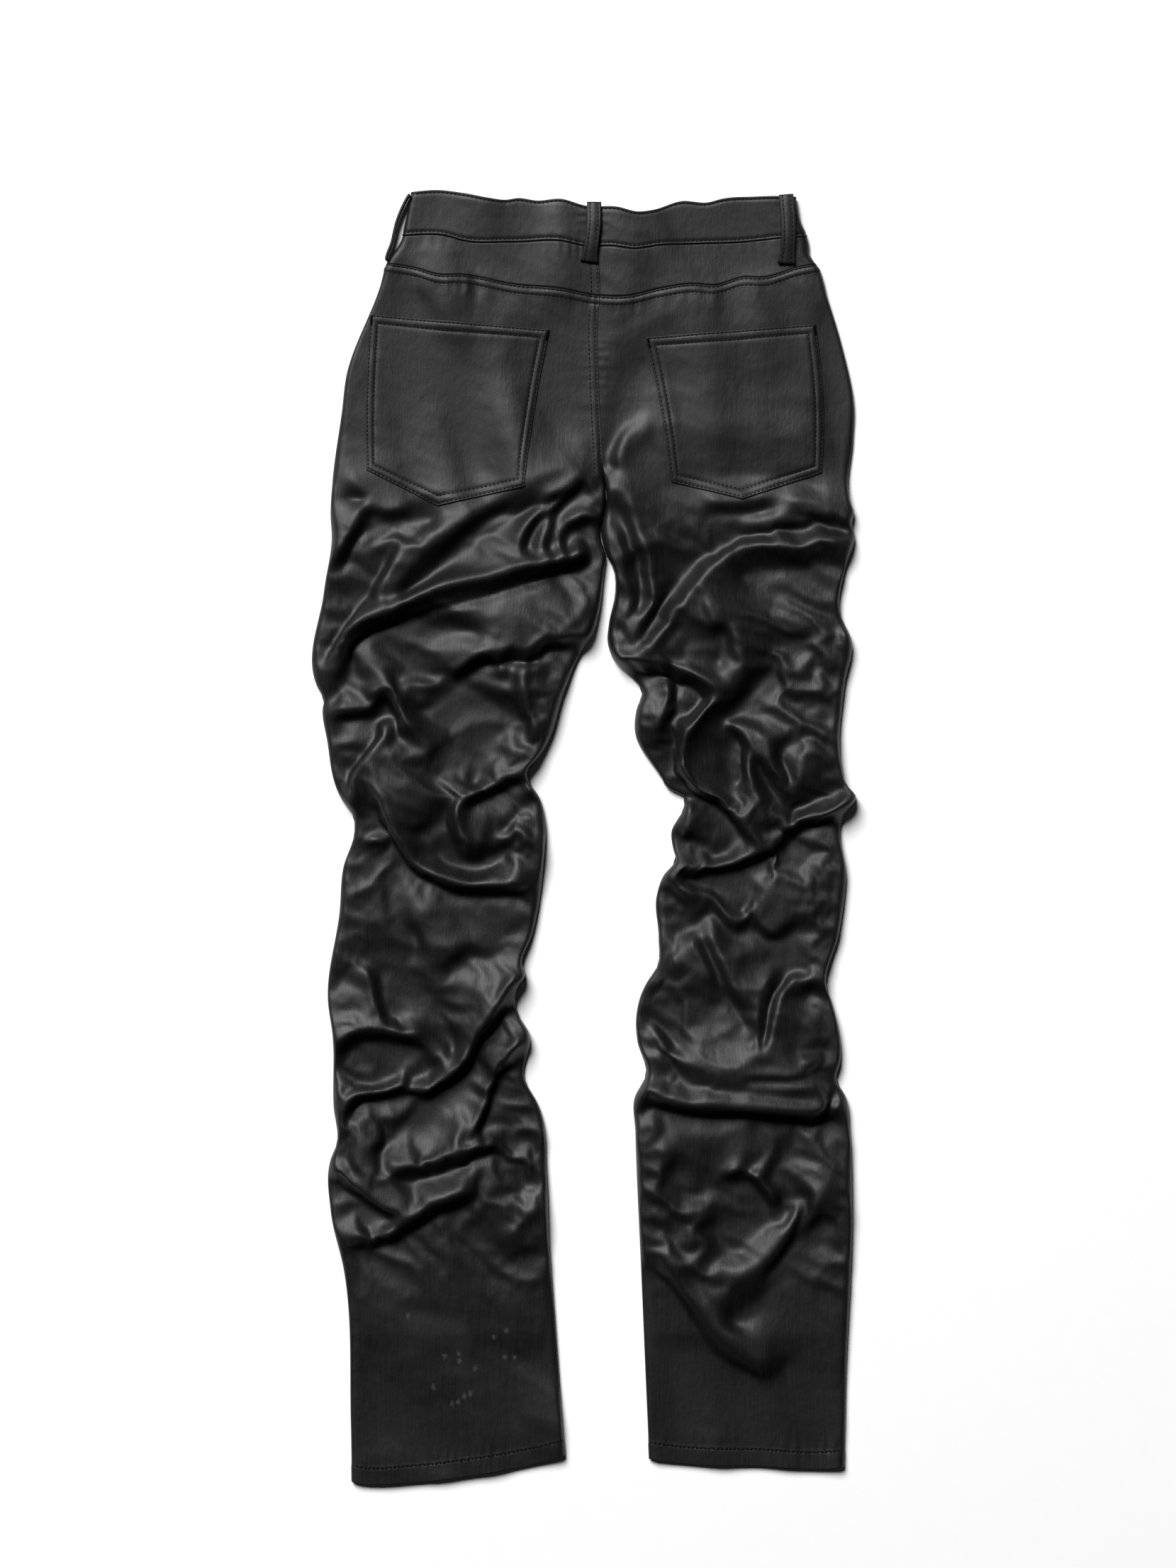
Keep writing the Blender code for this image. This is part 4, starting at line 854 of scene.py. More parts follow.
class Back:
    """The outer face of the back of the garment, for one half of it or for both."""

    EDGE_HOLD = 14.0  # how far in from an edge the folds begin to slide sideways

    def __init__(self, skin, halves):
        self.skin, self.halves = skin, halves
        self.leg = halves[0] if len(halves) == 1 else None

    def lie(self, x, y):
        """Points of the face, before seams and bands raise it."""
        from_side = np.min([np.abs(x - curve_through(leg.side, y)) for leg in self.halves],
                           axis=0)
        legs_part = parted_at(y)
        if self.leg:
            from_inner = np.abs(x - edges_at(self.leg, y)[1]) - SEAM_GAP / 2
        else:
            from_inner = np.full_like(from_side, LOW_REACH)
        swing = np.sin(y / EDGE_WAVE + 2 * np.sin(y / EDGE_DRIFT))
        width = EDGE_ROUND * (EDGE_MEAN + EDGE_SWING * swing)
        share = turned(from_side, 1.0, width) * turned(from_inner, legs_part, width)
        near = np.minimum(from_side, from_inner + LOW_REACH * (1 - legs_part))
        lowest = LOWEST_BACK + (LOWEST_EDGE - LOWEST_BACK) * fade(1 - near / LOW_REACH)
        slide_x, slide_y, rise = self.skin.at(x, y)
        over = (curve_through(CROWNS, y) + front_lift(x, y) + rise + LOFT * stacked_at(y)
                + puckers(x, y, self.leg) - lowest)
        eased = LOW_EASE * np.exp(np.minimum(over, LOW_EASE) / LOW_EASE - 1)
        height = lowest + np.where(over > LOW_EASE, over, eased)
        seam = seam_height(y) + SEAM_GAP / 2
        free = fade(from_side / self.EDGE_HOLD) * fade(from_inner / self.EDGE_HOLD)
        free = free * fade((yoke_seam(x) - FELL_WIDTH - y) / self.EDGE_HOLD)
        return np.stack([x + slide_x * free, y + slide_y * free,
                         seam + (height - seam) * share], -1)

    def facing(self, x, y):
        """Unit normals of the face."""
        east = self.lie(x + FACING_STEP, y) - self.lie(x - FACING_STEP, y)
        north = self.lie(x, y + FACING_STEP) - self.lie(x, y - FACING_STEP)
        normal = np.cross(east, north)
        return normal / np.maximum(np.linalg.norm(normal, axis=-1, keepdims=True), TINY)

    def raised(self, x, y):
        """How far felled seams, hems and the waistband stand out of the face."""
        def band(inside):
            return fade(0.5 + inside / STEP_WIDTH)

        seam, waist = yoke_seam(x), waist_seam(x)
        rise = FELL_RISE * band(y - seam + FELL_WIDTH) * (y < seam + 0.1)
        dent = pressed(seam - y) + pressed(waist_top(x) - y, (WAIST_STITCH,))
        dent += pressed(y - waist, (WAIST_STITCH,))
        if self.leg is LEFT_LEG:
            inner = edges_at(self.leg, y)[1]
            rise = np.maximum(rise, FELL_RISE * band(x - inner + FELL_WIDTH)
                              * (y > CROTCH_Y - 2) * (y < seam + 0.1))
            dent += pressed(inner - x) * (y > CROTCH_Y) * (y < seam)
        if self.leg:
            hem = curve_through(self.leg.hem, x)
            rise = np.maximum(rise, HEM_RISE * band(hem + HEM_DEPTH - y))
            dent += HEM_DENT * pressed(y - hem, (HEM_STITCH,))
        rise = np.maximum(rise, (BAND_CLOTH - CLOTH) * (y > waist - 0.2))
        return rise - dent

    def on(self, x, y, lift=0.0):
        """Points a lift above the face with its bands."""
        x, y = np.asarray(x, float), np.asarray(y, float)
        return self.lie(x, y) + self.facing(x, y) * (self.raised(x, y) + lift)[..., None]


# ---- meshes

def placed(name, data):
    """A new object in the scene."""
    obj = bpy.data.objects.new(name, data)
    bpy.context.scene.collection.objects.link(obj)
    return obj


def to_mesh(name, points, faces, material):
    mesh = bpy.data.meshes.new(name)
    mesh.from_pydata([tuple(p) for p in np.asarray(points) * MM], [], faces)
    mesh.validate()
    mesh.shade_smooth()
    mesh.materials.append(material)
    obj = placed(name, mesh)
    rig.ride(obj, "root")
    return obj


def finish_piece(obj, slot, *nodes):
    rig.slot(obj, slot)
    if nodes:
        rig.replaces(obj, *nodes)
    return obj


def grid_quads(rows, columns):
    """The quads between a grid's points, which are counted row by row."""
    i, j = np.meshgrid(np.arange(rows - 1), np.arange(columns - 1), indexing="ij")
    a = (i * columns + j).ravel()
    return np.stack([a, a + columns, a + columns + 1, a + 1], 1)


def cloth_piece(node, outer, inner):
    """The piece that replaces a node: a closed wall of cloth between two grids of points (rows x
    columns x 3), its outer face up."""
    rows, columns = outer.shape[:2]
    count = rows * columns
    quads = grid_quads(rows, columns)
    faces = np.concatenate([quads, quads[:, ::-1] + count]).tolist()
    rim = list(range(columns))
    rim += [k * columns + columns - 1 for k in range(1, rows)]
    rim += [(rows - 1) * columns + k for k in range(columns - 2, -1, -1)]
    rim += [k * columns for k in range(rows - 2, 0, -1)]
    for p, q in zip(rim, rim[1:] + rim[:1]):
        faces.append([p, q, q + count, p + count])
    points = np.concatenate([outer.reshape(-1, 3), inner.reshape(-1, 3)])
    return finish_piece(to_mesh(f"{node}_cloth", points, faces, DENIM), "coated_denim", node)


def normals_of(grid, turn_left, turn_right):
    """Unit normals of a grid of points, towards the side that faces up, squared at its ends so
    that the walls of two panels meet without crossing."""
    normal = np.cross(np.gradient(grid, axis=0), np.gradient(grid, axis=1))
    normal[:, 0, 2] *= 1 - turn_left
    normal[:, -1, 2] *= 1 - turn_right
    normal[:, 0, 0] *= turn_left
    normal[:, -1, 0] *= turn_right
    normal[[0, -1], :, 1] = 0
    return normal / np.maximum(np.linalg.norm(normal, axis=2, keepdims=True), TINY)


def columns_between(left, right, middle_cells):
    edge = EDGE_ROUND * (1 - np.cos(np.radians(EDGE_TURNS)))
    share = np.linspace(0, 1, middle_cells + 1)[1:-1]
    inner = left[..., None] + EDGE_ROUND + (right - left - 2 * EDGE_ROUND)[..., None] * share
    return np.concatenate([left[..., None] + edge, inner, right[..., None] - edge[::-1]], -1)


def grid_columns(halves, y, cells):
    """x of a grid's columns across one half of the garment, or across both."""
    width = cells + 2 * len(EDGE_TURNS) - 1
    parts = []
    for k, leg in enumerate(halves):
        own = y[:, k * (width - 1):k * (width - 1) + width]
        if leg is LEFT_LEG:
            side, inner = edges_at(leg, own[:, 0])[0], edges_at(leg, own[:, -1])[1]
            parts.append(columns_between(side, inner - SEAM_GAP / 2, cells))
        else:
            side, inner = edges_at(leg, own[:, -1])[0], edges_at(leg, own[:, 0])[1]
            parts.append(columns_between(inner + SEAM_GAP / 2, side, cells))
    if len(parts) == 1:
        return parts[0]
    left, right = parts
    return np.hstack([left[:, :-1], (left[:, -1:] + right[:, :1]) / 2, right[:, 1:]])


def stepped(start, end, step=LINE_STEP):
    return np.linspace(start, end, max(2, round(abs(end - start) / step) + 1))


def leg_grid(leg, top_edge, top_y, cells, step):
    """(x, y) of a leg panel's points, rows from the top edge to the hem."""
    top_rows, hem_rows = top_y - np.array(TOP_ROWS), HEM_Y + np.array(HEM_ROWS)[::-1]
    rows = np.concatenate([top_rows, stepped(top_rows[-1], hem_rows[0], step)[1:-1], hem_rows])
    y = np.repeat(rows[:, None], cells + 2 * len(EDGE_TURNS) - 1, 1)
    for _ in range(SETTLE_ROUNDS):
        x = grid_columns((leg,), y, cells)
        to_top = fade((rows - top_y + TOP_SLANT) / (TOP_SLANT - TOP_ROWS[-1]))[:, None]
        to_hem = fade((HEM_Y + HEM_SLANT - rows) / (HEM_SLANT - HEM_ROWS[-1]))[:, None]
        y = (rows[:, None] + (top_edge(x) - top_y) * to_top
             + (curve_through(leg.hem, x) - HEM_Y) * to_hem)
    return x, y


def band_grid(halves, top_edge, low_edge, cells, rows):
    """(x, y) of a piece that runs across, between two edges. rows are shares of its depth."""
    width = (cells + 2 * len(EDGE_TURNS) - 2) * len(halves) + 1
    y = np.full((len(rows), width), WAIST_SEAM[0][1], float)
    for _ in range(SETTLE_ROUNDS):
        x = grid_columns(halves, y, cells)
        y = top_edge(x) + (low_edge(x) - top_edge(x)) * rows[:, None]
    return x, y


def turns_of(halves, y):
    """The turn of a panel's left and right edges, row by row."""
    part = parted_at(y)
    left = 1.0 if LEFT_LEG in halves else part[:, 0]
    right = 1.0 if RIGHT_LEG in halves else part[:, -1]
    return left, right


def rim_rows(depth, step, near=(0, 0.25, 0.7, 1.4)):
    """Shares of a band's depth, with rows close together at both rims, the part of full
    thickness that each row has, and how far in it lies."""
    near = np.array(near, float)
    d = np.concatenate([near, stepped(near[-1] + step, depth - near[-1] - step, step),
                        depth - near[::-1]])
    to_rim = np.minimum(d, depth - d)
    full = np.sqrt(1 - (1 - np.clip(to_rim / RIM, 0, 1)) ** 2)
    return d / depth, full, to_rim


# ---- materials

class Shader:
    """A material with a Principled shader, to which nodes are added by kind."""

    def __init__(self, name, **sockets):
        self.material = bpy.data.materials.new(name)
        self.material.use_nodes = True
        self.tree = self.material.node_tree
        self.shader = self.tree.nodes["Principled BSDF"]
        for key, value in sockets.items():
            self.shader.inputs[key.replace("_", " ")].default_value = value
        self.place = self.add("TexCoord").outputs["Object"]

    def add(self, kind, inputs=None, **settings):
        node = self.tree.nodes.new("ShaderNode" + kind)
        for key, value in settings.items():
            setattr(node, key, value)
        for key, value in (inputs or {}).items():
            if isinstance(value, bpy.types.NodeSocket):
                self.tree.links.new(value, node.inputs[key])
            else:
                node.inputs[key].default_value = value
        return node

    def noise_at(self, scale, detail=3.0, rough=0.55):
        """Noise over the garment, scale features for each metre along x, y and z."""
        spread = self.add("Mapping", {"Vector": self.place, "Scale": scale})
        return self.add("TexNoise", {"Vector": spread.outputs["Vector"], "Scale": 1.0,
                                     "Detail": detail, "Roughness": rough}).outputs["Fac"]

    def map(self, value, low, high, to_low, to_high):
        return self.add("MapRange", {"Value": value, "From Min": low, "From Max": high,
                                     "To Min": to_low, "To Max": to_high}).outputs["Result"]

    def math(self, operation, a, b):
        return self.add("Math", {0: a, 1: b}, operation=operation).outputs["Value"]

    def colour_mix(self, share, a, b):
        return self.add("MixRGB", {"Fac": share, "Color1": a, "Color2": b}).outputs["Color"]

    def bump(self, height, strength, distance, under=None):
        inputs = {"Height": height, "Strength": strength, "Distance": distance}
        if under is not None:
            inputs["Normal"] = under
        return self.add("Bump", inputs).outputs["Normal"]

    def set(self, **links):
        for key, value in links.items():
            self.tree.links.new(value, self.shader.inputs[key.replace("_", " ")])
        return self.material


def rgb(red, green, blue):
    return (red, green, blue, 1.0)


DENIM_DARK, DENIM_LIGHT = rgb(0.0012, 0.0011, 0.0013), rgb(0.0070, 0.0066, 0.0069)
DENIM_WORN, DENIM_SCUFFED = rgb(0.024, 0.022, 0.022), rgb(0.11, 0.10, 0.085)
THREAD_DARK, THREAD_LIGHT = rgb(0.0015, 0.0015, 0.0016), rgb(0.005, 0.0048, 0.005)
METAL_DARK, METAL_WORN = rgb(0.045, 0.043, 0.042), rgb(0.16, 0.15, 0.14)
FLOOR_DARK, FLOOR_LIGHT = rgb(0.93, 0.93, 0.93), rgb(0.95, 0.95, 0.95)
# Scuffs, in metres: a little longer than wide, their outlines shifted about by fine noise, and
# only on cloth that lies above the fronts.
SCUFF_OUT, SCUFF_IN, SCUFF_MOST = 0.0022, 0.0006, 0.32
SCUFF_SQUASH, SCUFF_SHIFT, SCUFF_GRAIN = 0.7, 0.004, 420.0
SCUFF_LOW, SCUFF_HIGH = 0.0030, 0.0034


def coated_denim():
    """Black stretch twill with a waxed coating: fine streaks along the warp, a slight sheen,
    paler along worn crests, and a few pale scuffs."""
    s = Shader("coated_denim", Specular_IOR_Level=0.34, Coat_Weight=0.03, Coat_Roughness=0.3)
    streaks = s.noise_at((1300, 42, 260), 4.0, 0.6)
    long_streaks = s.noise_at((420, 14, 120))
    blotches = s.noise_at((16, 11, 16))
    grain = s.noise_at((2600, 2100, 2400), 2.0)
    tone = s.math("ADD", s.map(streaks, 0.3, 0.7, 0.0, 0.45),
                  s.math("ADD", s.map(long_streaks, 0.3, 0.7, 0.0, 0.3),
                         s.map(blotches, 0.35, 0.65, 0.0, 0.25)))
    colour = s.colour_mix(tone, DENIM_DARK, DENIM_LIGHT)
    wear = s.add("Attribute", attribute_name="wear").outputs["Fac"]
    wear = s.math("MULTIPLY", wear, s.map(blotches, 0.3, 0.7, 0.35, 1.0))
    colour = s.colour_mix(wear, colour, DENIM_WORN)
    squashed = s.add("Mapping", {"Vector": s.place, "Scale": (1, SCUFF_SQUASH, 0)})
    ragged = s.add("TexNoise", {"Vector": s.place, "Scale": SCUFF_GRAIN})
    ragged = s.add("Mapping", {"Vector": ragged.outputs["Color"],
                               "Scale": (SCUFF_SHIFT, SCUFF_SHIFT, 0),
                               "Location": (-SCUFF_SHIFT / 2, -SCUFF_SHIFT / 2, 0)})
    shifted = s.add("VectorMath", {0: squashed.outputs["Vector"], 1: ragged.outputs["Vector"]},
                    operation="ADD").outputs["Vector"]
    scuffed = None
    for x, y in SCUFFS:
        away = s.add("VectorMath", {0: shifted, 1: (x * MM, SCUFF_SQUASH * y * MM, 0)},
                     operation="DISTANCE").outputs["Value"]
        spot = s.map(away, SCUFF_OUT, SCUFF_IN, 0.0, SCUFF_MOST)
        scuffed = spot if scuffed is None else s.math("MAXIMUM", scuffed, spot)
    height = s.add("SeparateXYZ", {"Vector": s.place}).outputs["Z"]
    scuffed = s.math("MULTIPLY", scuffed, s.map(height, SCUFF_LOW, SCUFF_HIGH, 0.0, 1.0))
    colour = s.colour_mix(scuffed, colour, DENIM_SCUFFED)
    rough = s.math("ADD", s.map(streaks, 0.3, 0.7, 0.47, 0.57),
                   s.map(blotches, 0.35, 0.65, -0.03, 0.04))
    normal = s.bump(grain, 0.35, 0.00012)
    normal = s.bump(streaks, 0.55, 0.00022, normal)
    normal = s.bump(s.noise_at((210, 120, 210)), 0.5, 0.0006, normal)
    return s.set(Base_Color=colour, Roughness=rough, Normal=normal)


def thread():
    """Black polyester thread, twisted."""
    s = Shader("thread", Specular_IOR_Level=0.08)
    twist = s.noise_at((2600, 2600, 2600), 1.0)
    return s.set(Base_Color=s.colour_mix(twist, THREAD_DARK, THREAD_LIGHT),
                 Roughness=s.map(twist, 0.3, 0.7, 0.6, 0.75), Normal=s.bump(twist, 0.5, 0.0002))


def button_metal():
    """Darkened metal, a little worn."""
    s = Shader("button_metal", Metallic=1.0)
    spots = s.noise_at((240, 240, 240), 4.0)
    colour = s.colour_mix(s.map(spots, 0.4, 0.7, 0.0, 1.0), METAL_DARK, METAL_WORN)
    return s.set(Base_Color=colour, Roughness=s.map(spots, 0.3, 0.7, 0.28, 0.5),
                 Normal=s.bump(spots, 0.2, 0.0001))


def pale_floor():
    s = Shader("pale_floor")
    grain = s.noise_at((60, 60, 60), 4.0)
    return s.set(Base_Color=s.colour_mix(grain, FLOOR_DARK, FLOOR_LIGHT),
                 Roughness=s.map(grain, 0.0, 1.0, 0.8, 0.9))


DENIM, THREAD, METAL = coated_denim(), thread(), button_metal()
skin = Skin(SKIN_STEP)
ALL_BACK = Back(skin, BOTH)
HALF_BACK = {"left": Back(skin, (LEFT_LEG,)), "right": Back(skin, (RIGHT_LEG,))}
LEGS = {"left": LEFT_LEG, "right": RIGHT_LEG}


def mark_worn(obj, x, y):
    """Marks how worn the coating is: along crests, where the cloth stands out."""
    rise = skin.at(x.ravel(), y.ravel())[2]
    crest = np.clip((rise - WORN_FROM) / WORN_OVER, 0, 1) ** WORN_CURVE
    values = np.zeros(len(obj.data.vertices), np.float32)
    values[:len(crest)] = WORN_MOST * crest
    attribute = obj.data.attributes.new("wear", "FLOAT", "POINT")
    attribute.data.foreach_set("value", values)


# ---- cloth simulation

def plain_sheet(name, grid):
    """A sheet of quads through a grid of points, shown to the solver alone."""
    mesh = bpy.data.meshes.new(name)
    mesh.from_pydata([tuple(p) for p in grid.reshape(-1, 3) * MM], [],
                     grid_quads(*grid.shape[:2]).tolist())
    return placed(name, mesh)


def weigh(obj, name, weights):
    group = obj.vertex_groups.new(name=name)
    for k, weight in enumerate(weights.ravel()):
        group.add([k], float(weight), "REPLACE")


def sampled(grid, i, j):
    """A grid's values at fractional rows i and columns j."""
    i0 = np.clip(i.astype(int), 0, grid.shape[0] - 2)
    j0 = np.clip(j.astype(int), 0, grid.shape[1] - 2)
    a, b = (i - i0)[:, None, None], (j - j0)[None, :, None]
    upper, lower = (grid[k][:, j0] * (1 - b) + grid[k][:, j0 + 1] * b for k in (i0, i0 + 1))
    return upper * (1 - a) + lower * a


def buckled(leg, x, y, laid):
    """The laid sheet with more cloth in it than room, so that it buckles between its held
    edges where the leg is stacked. The solver runs on every other point of the grid."""
    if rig.quick():
        return laid
    picked = [np.unique(np.r_[np.arange(0, n, SIM_SKIP), n - 1]) for n in laid.shape[:2]]
    pick = np.ix_(*picked)
    start, px, py = laid[pick], x[pick], y[pick]
    side_x, inner_x = edges_at(leg, py)
    near = np.minimum(np.abs(px - side_x), np.abs(px - inner_x))
    free = (fade((SIM_TOP - py) / SIM_TOP_EASE) * fade((py - SIM_LOW) / SIM_LOW_EASE)
            * fade((near - SIM_EDGE) / SIM_EDGE_EASE))
    obj = plain_sheet("settling", start)
    weigh(obj, "pins", 1 - (1 - SIM_GOAL) * free)
    weigh(obj, "taut", 1 - free * curve_through(leg.slack, py))
    cloth = obj.modifiers.new("cloth", "CLOTH")
    settings = cloth.settings
    for key, value in SIM_SETTINGS.items():
        setattr(settings, key, value)
    settings.effector_weights.gravity = 0
    cloth.collision_settings.use_collision = False
    cloth.point_cache.frame_start, cloth.point_cache.frame_end = 1, SIM_FRAMES
    for frame_number in range(1, SIM_FRAMES + 1):
        bpy.context.scene.frame_set(frame_number)
    moved = obj.evaluated_get(bpy.context.evaluated_depsgraph_get()).to_mesh()
    places = np.empty(3 * len(moved.vertices), np.float32)
    moved.vertices.foreach_get("co", places)
    shift = places.reshape(start.shape) / MM - start
    bpy.data.objects.remove(obj)
    bpy.context.scene.frame_set(1)
    far = np.linalg.norm(shift, axis=2, keepdims=True)
    shift = shift * (SIM_CAP * np.tanh(far / SIM_CAP) / np.maximum(far, TINY))
    i, j = (np.interp(np.arange(n), own, np.arange(len(own)))
            for n, own in zip(laid.shape, picked))
    shift = sampled(shift, i, j)
    shift[1:-1] = (shift[:-2] + 2 * shift[1:-1] + shift[2:]) / 4
    shift[:, 1:-1] = (shift[:, :-2] + 2 * shift[:, 1:-1] + shift[:, 2:]) / 4
    result = laid + shift
    # Cloth that would sink through the front lies on it instead.
    free = sampled(free[..., None], i, j)[..., 0]
    rest = LOWEST_BACK + SIM_EASE * np.logaddexp(0, (result[..., 2] - LOWEST_BACK) / SIM_EASE)
    rest = SIM_HIGH - SIM_EASE * np.logaddexp(0, (SIM_HIGH - rest) / SIM_EASE)
    result[..., 2] += (rest - result[..., 2]) * fade(free / SIM_BLEND)
    return result


# ---- the panels

def back_panel(side):
    """One back, from under the yoke to the hem, with its folds."""
    leg, back = LEGS[side], HALF_BACK[side]
    x, y = leg_grid(leg, lambda x: yoke_seam(x) - SEAM_GAP, BACK_TOP_Y, BACK_CELLS, ROW_STEP)
    middle = buckled(leg, x, y, back.lie(x, y))
    normal = normals_of(middle, *turns_of((leg,), y))
    outer = middle + normal * back.raised(x, y)[..., None]
    panel = cloth_piece(f"back_{side}", outer, middle - normal * CLOTH)
    mark_worn(panel, x, y)
    return panel


def front_creases(x, y, away):
    """Soft creases of the front, which lies on the surface."""
    ridge = np.array([1 - FRONT_CREASE_SHARP * abs(noise.noise(
        Vector((a / FRONT_CREASE_ACROSS, b / FRONT_CREASE_ALONG, 3.1))))
        for a, b in zip(x.ravel(), y.ravel())]).reshape(x.shape)
    return (FRONT_CREASE * np.clip(ridge, 0, 1) ** 2 * (0.3 + 0.7 * stacked_at(y))
            * fade(away / FRONT_CREASE_EDGE))


def front_panel(side):
    """One front, flat on the surface, its edges turned up to the side seam and the inseam."""
    leg = LEGS[side]
    x, y = leg_grid(leg, lambda x: waist_front_top(x) - WAIST_HEIGHT - SEAM_GAP, FRONT_TOP_Y,
                    FRONT_CELLS, FRONT_STEP)
    side_x, inner_x = edges_at(leg, y)
    legs_part = parted_at(y)
    from_side, from_inner = np.abs(x - side_x), np.abs(x - inner_x) - SEAM_GAP / 2
    x = x - FRONT_SEAM_SHIFT * (1 - legs_part) * fade(1 - from_inner / FRONT_SHIFT_REACH)
    share = turned(from_side) * turned(from_inner, legs_part)
    seam = seam_height(y) - SEAM_GAP / 2
    z = (seam * (1 - share) + front_lift(x, y)
         + front_creases(x, y, np.minimum(from_side, from_inner)))
    under = np.stack([x, y, z], 2)
    normal = normals_of(under, *turns_of((leg,), y))
    return cloth_piece(f"front_{side}", under + normal * CLOTH, under)


def yoke(side):
    leg, back = LEGS[side], HALF_BACK[side]
    x, y = band_grid((leg,), lambda x: waist_seam(x) - SEAM_GAP, yoke_seam, YOKE_CELLS,
                     np.linspace(0, 1, YOKE_ROWS + 1))
    outer = back.lie(x, y)
    normal = normals_of(outer, *turns_of((leg,), y))
    return cloth_piece(f"yoke_{side}", outer, outer - normal * CLOTH)


def back_waistband():
    """The doubled band across the back, its top edge folded over."""
    rows, full, _ = rim_rows(WAIST_HEIGHT, FINE_STEP, WAIST_ROWS)
    x, y = band_grid(BOTH, waist_top, waist_seam, YOKE_CELLS, rows)
    face = ALL_BACK.lie(x, y)
    normal = normals_of(face, 1.0, 1.0)
    rise = (BAND_CLOTH - CLOTH) * np.repeat(full[:, None], x.shape[1], 1)
    rise -= (pressed(waist_top(x) - y, (WAIST_STITCH,))
             + pressed(y - waist_seam(x), (WAIST_STITCH,)))
    rise[:, [0, -1]] = 0
    return cloth_piece("waistband_back", face + normal * rise[..., None],
                       face - normal * CLOTH)


def front_waistband(side):
    leg = LEGS[side]
    rows = rim_rows(WAIST_HEIGHT, FRONT_STEP / 2)[0]
    x, y = band_grid((leg,), waist_front_top, lambda x: waist_front_top(x) - WAIST_HEIGHT,
                     FRONT_CELLS, rows)
    from_side = np.abs(x - edges_at(leg, y)[0])
    seam = seam_height(y) - SEAM_GAP / 2
    under = np.stack([x, y, seam * (1 - turned(from_side)) + front_lift(x, y)], 2)
    normal = normals_of(under, *turns_of((leg,), y))
    wall = np.full(x.shape, BAND_CLOTH)
    wall[:, 0 if side == "left" else -1] = CLOTH
    return cloth_piece(f"waistband_front_{side}", under + normal * wall[..., None], under)


# ---- pockets

def pocket_form(pocket):
    """A pocket's width and depth, and the share of its width at which its point lies."""
    width = pocket.top_right[0] - pocket.top_left[0]
    depth = pocket.top_left[1] - pocket.low_left[1]
    low_width = pocket.low_right[0] - pocket.low_left[0]
    return width, depth, (pocket.point[0] - pocket.low_left[0]) / low_width


def pocket_place(pocket, u, v):
    """(x, y) of a pocket's points: u from its left edge to its right, v from its top down."""
    tl, tr, lr, pt, ll = (np.array(corner, float) for corner in pocket[:5])
    at_point = pocket_form(pocket)[2]
    u, v = u[..., None], v[..., None]
    top = tl + (tr - tl) * u
    low = np.where(u < at_point, ll + (pt - ll) * u / at_point,
                   pt + (lr - pt) * (u - at_point) / (1 - at_point))
    place = top + (low - top) * v
    out = (pocket.bow[1] * u + -pocket.bow[0] * (1 - u)) * np.sin(math.pi * v)
    return place[..., 0] + out[..., 0], place[..., 1]


def patch_pocket(side):
    pocket, back = POCKETS[side], HALF_BACK[side]
    width, depth, at_point = pocket_form(pocket)
    u, full_u, in_u = rim_rows(width, POCKET_STEP, POCKET_ROWS)
    u[np.argmin(np.abs(u - at_point))] = at_point
    v, full_v, in_v = rim_rows(depth, POCKET_STEP, POCKET_ROWS)
    x, y = pocket_place(pocket, *np.meshgrid(u, v))
    thick = POCKET_CLOTH * (POCKET_RIM
                            + (1 - POCKET_RIM) * full_v[:, None] * full_u[None, :])
    thick -= pressed(np.minimum(in_v[:, None], in_u[None, :]))
    return cloth_piece(f"pocket_{side}", back.on(x, y, LAID_GAP + thick),
                       back.on(x, y, LAID_GAP))


def inset_outline(pocket, inset):
    """(x, y) along a line that runs a distance inside a pocket's outline, all the way round."""
    width, depth, at_point = pocket_form(pocket)
    du, dv = inset / width, inset / depth
    corners = np.array([(du, dv), (1 - du, dv), (1 - du, 1 - dv), (at_point, 1 - dv),
                        (du, 1 - dv), (du, dv)])
    t = np.linspace(0, 1, 60, endpoint=False)[:, None]
    line = np.concatenate([a + (b - a) * t for a, b in zip(corners, corners[1:])])
    return pocket_place(pocket, line[:, 0], line[:, 1])


# ---- stitches

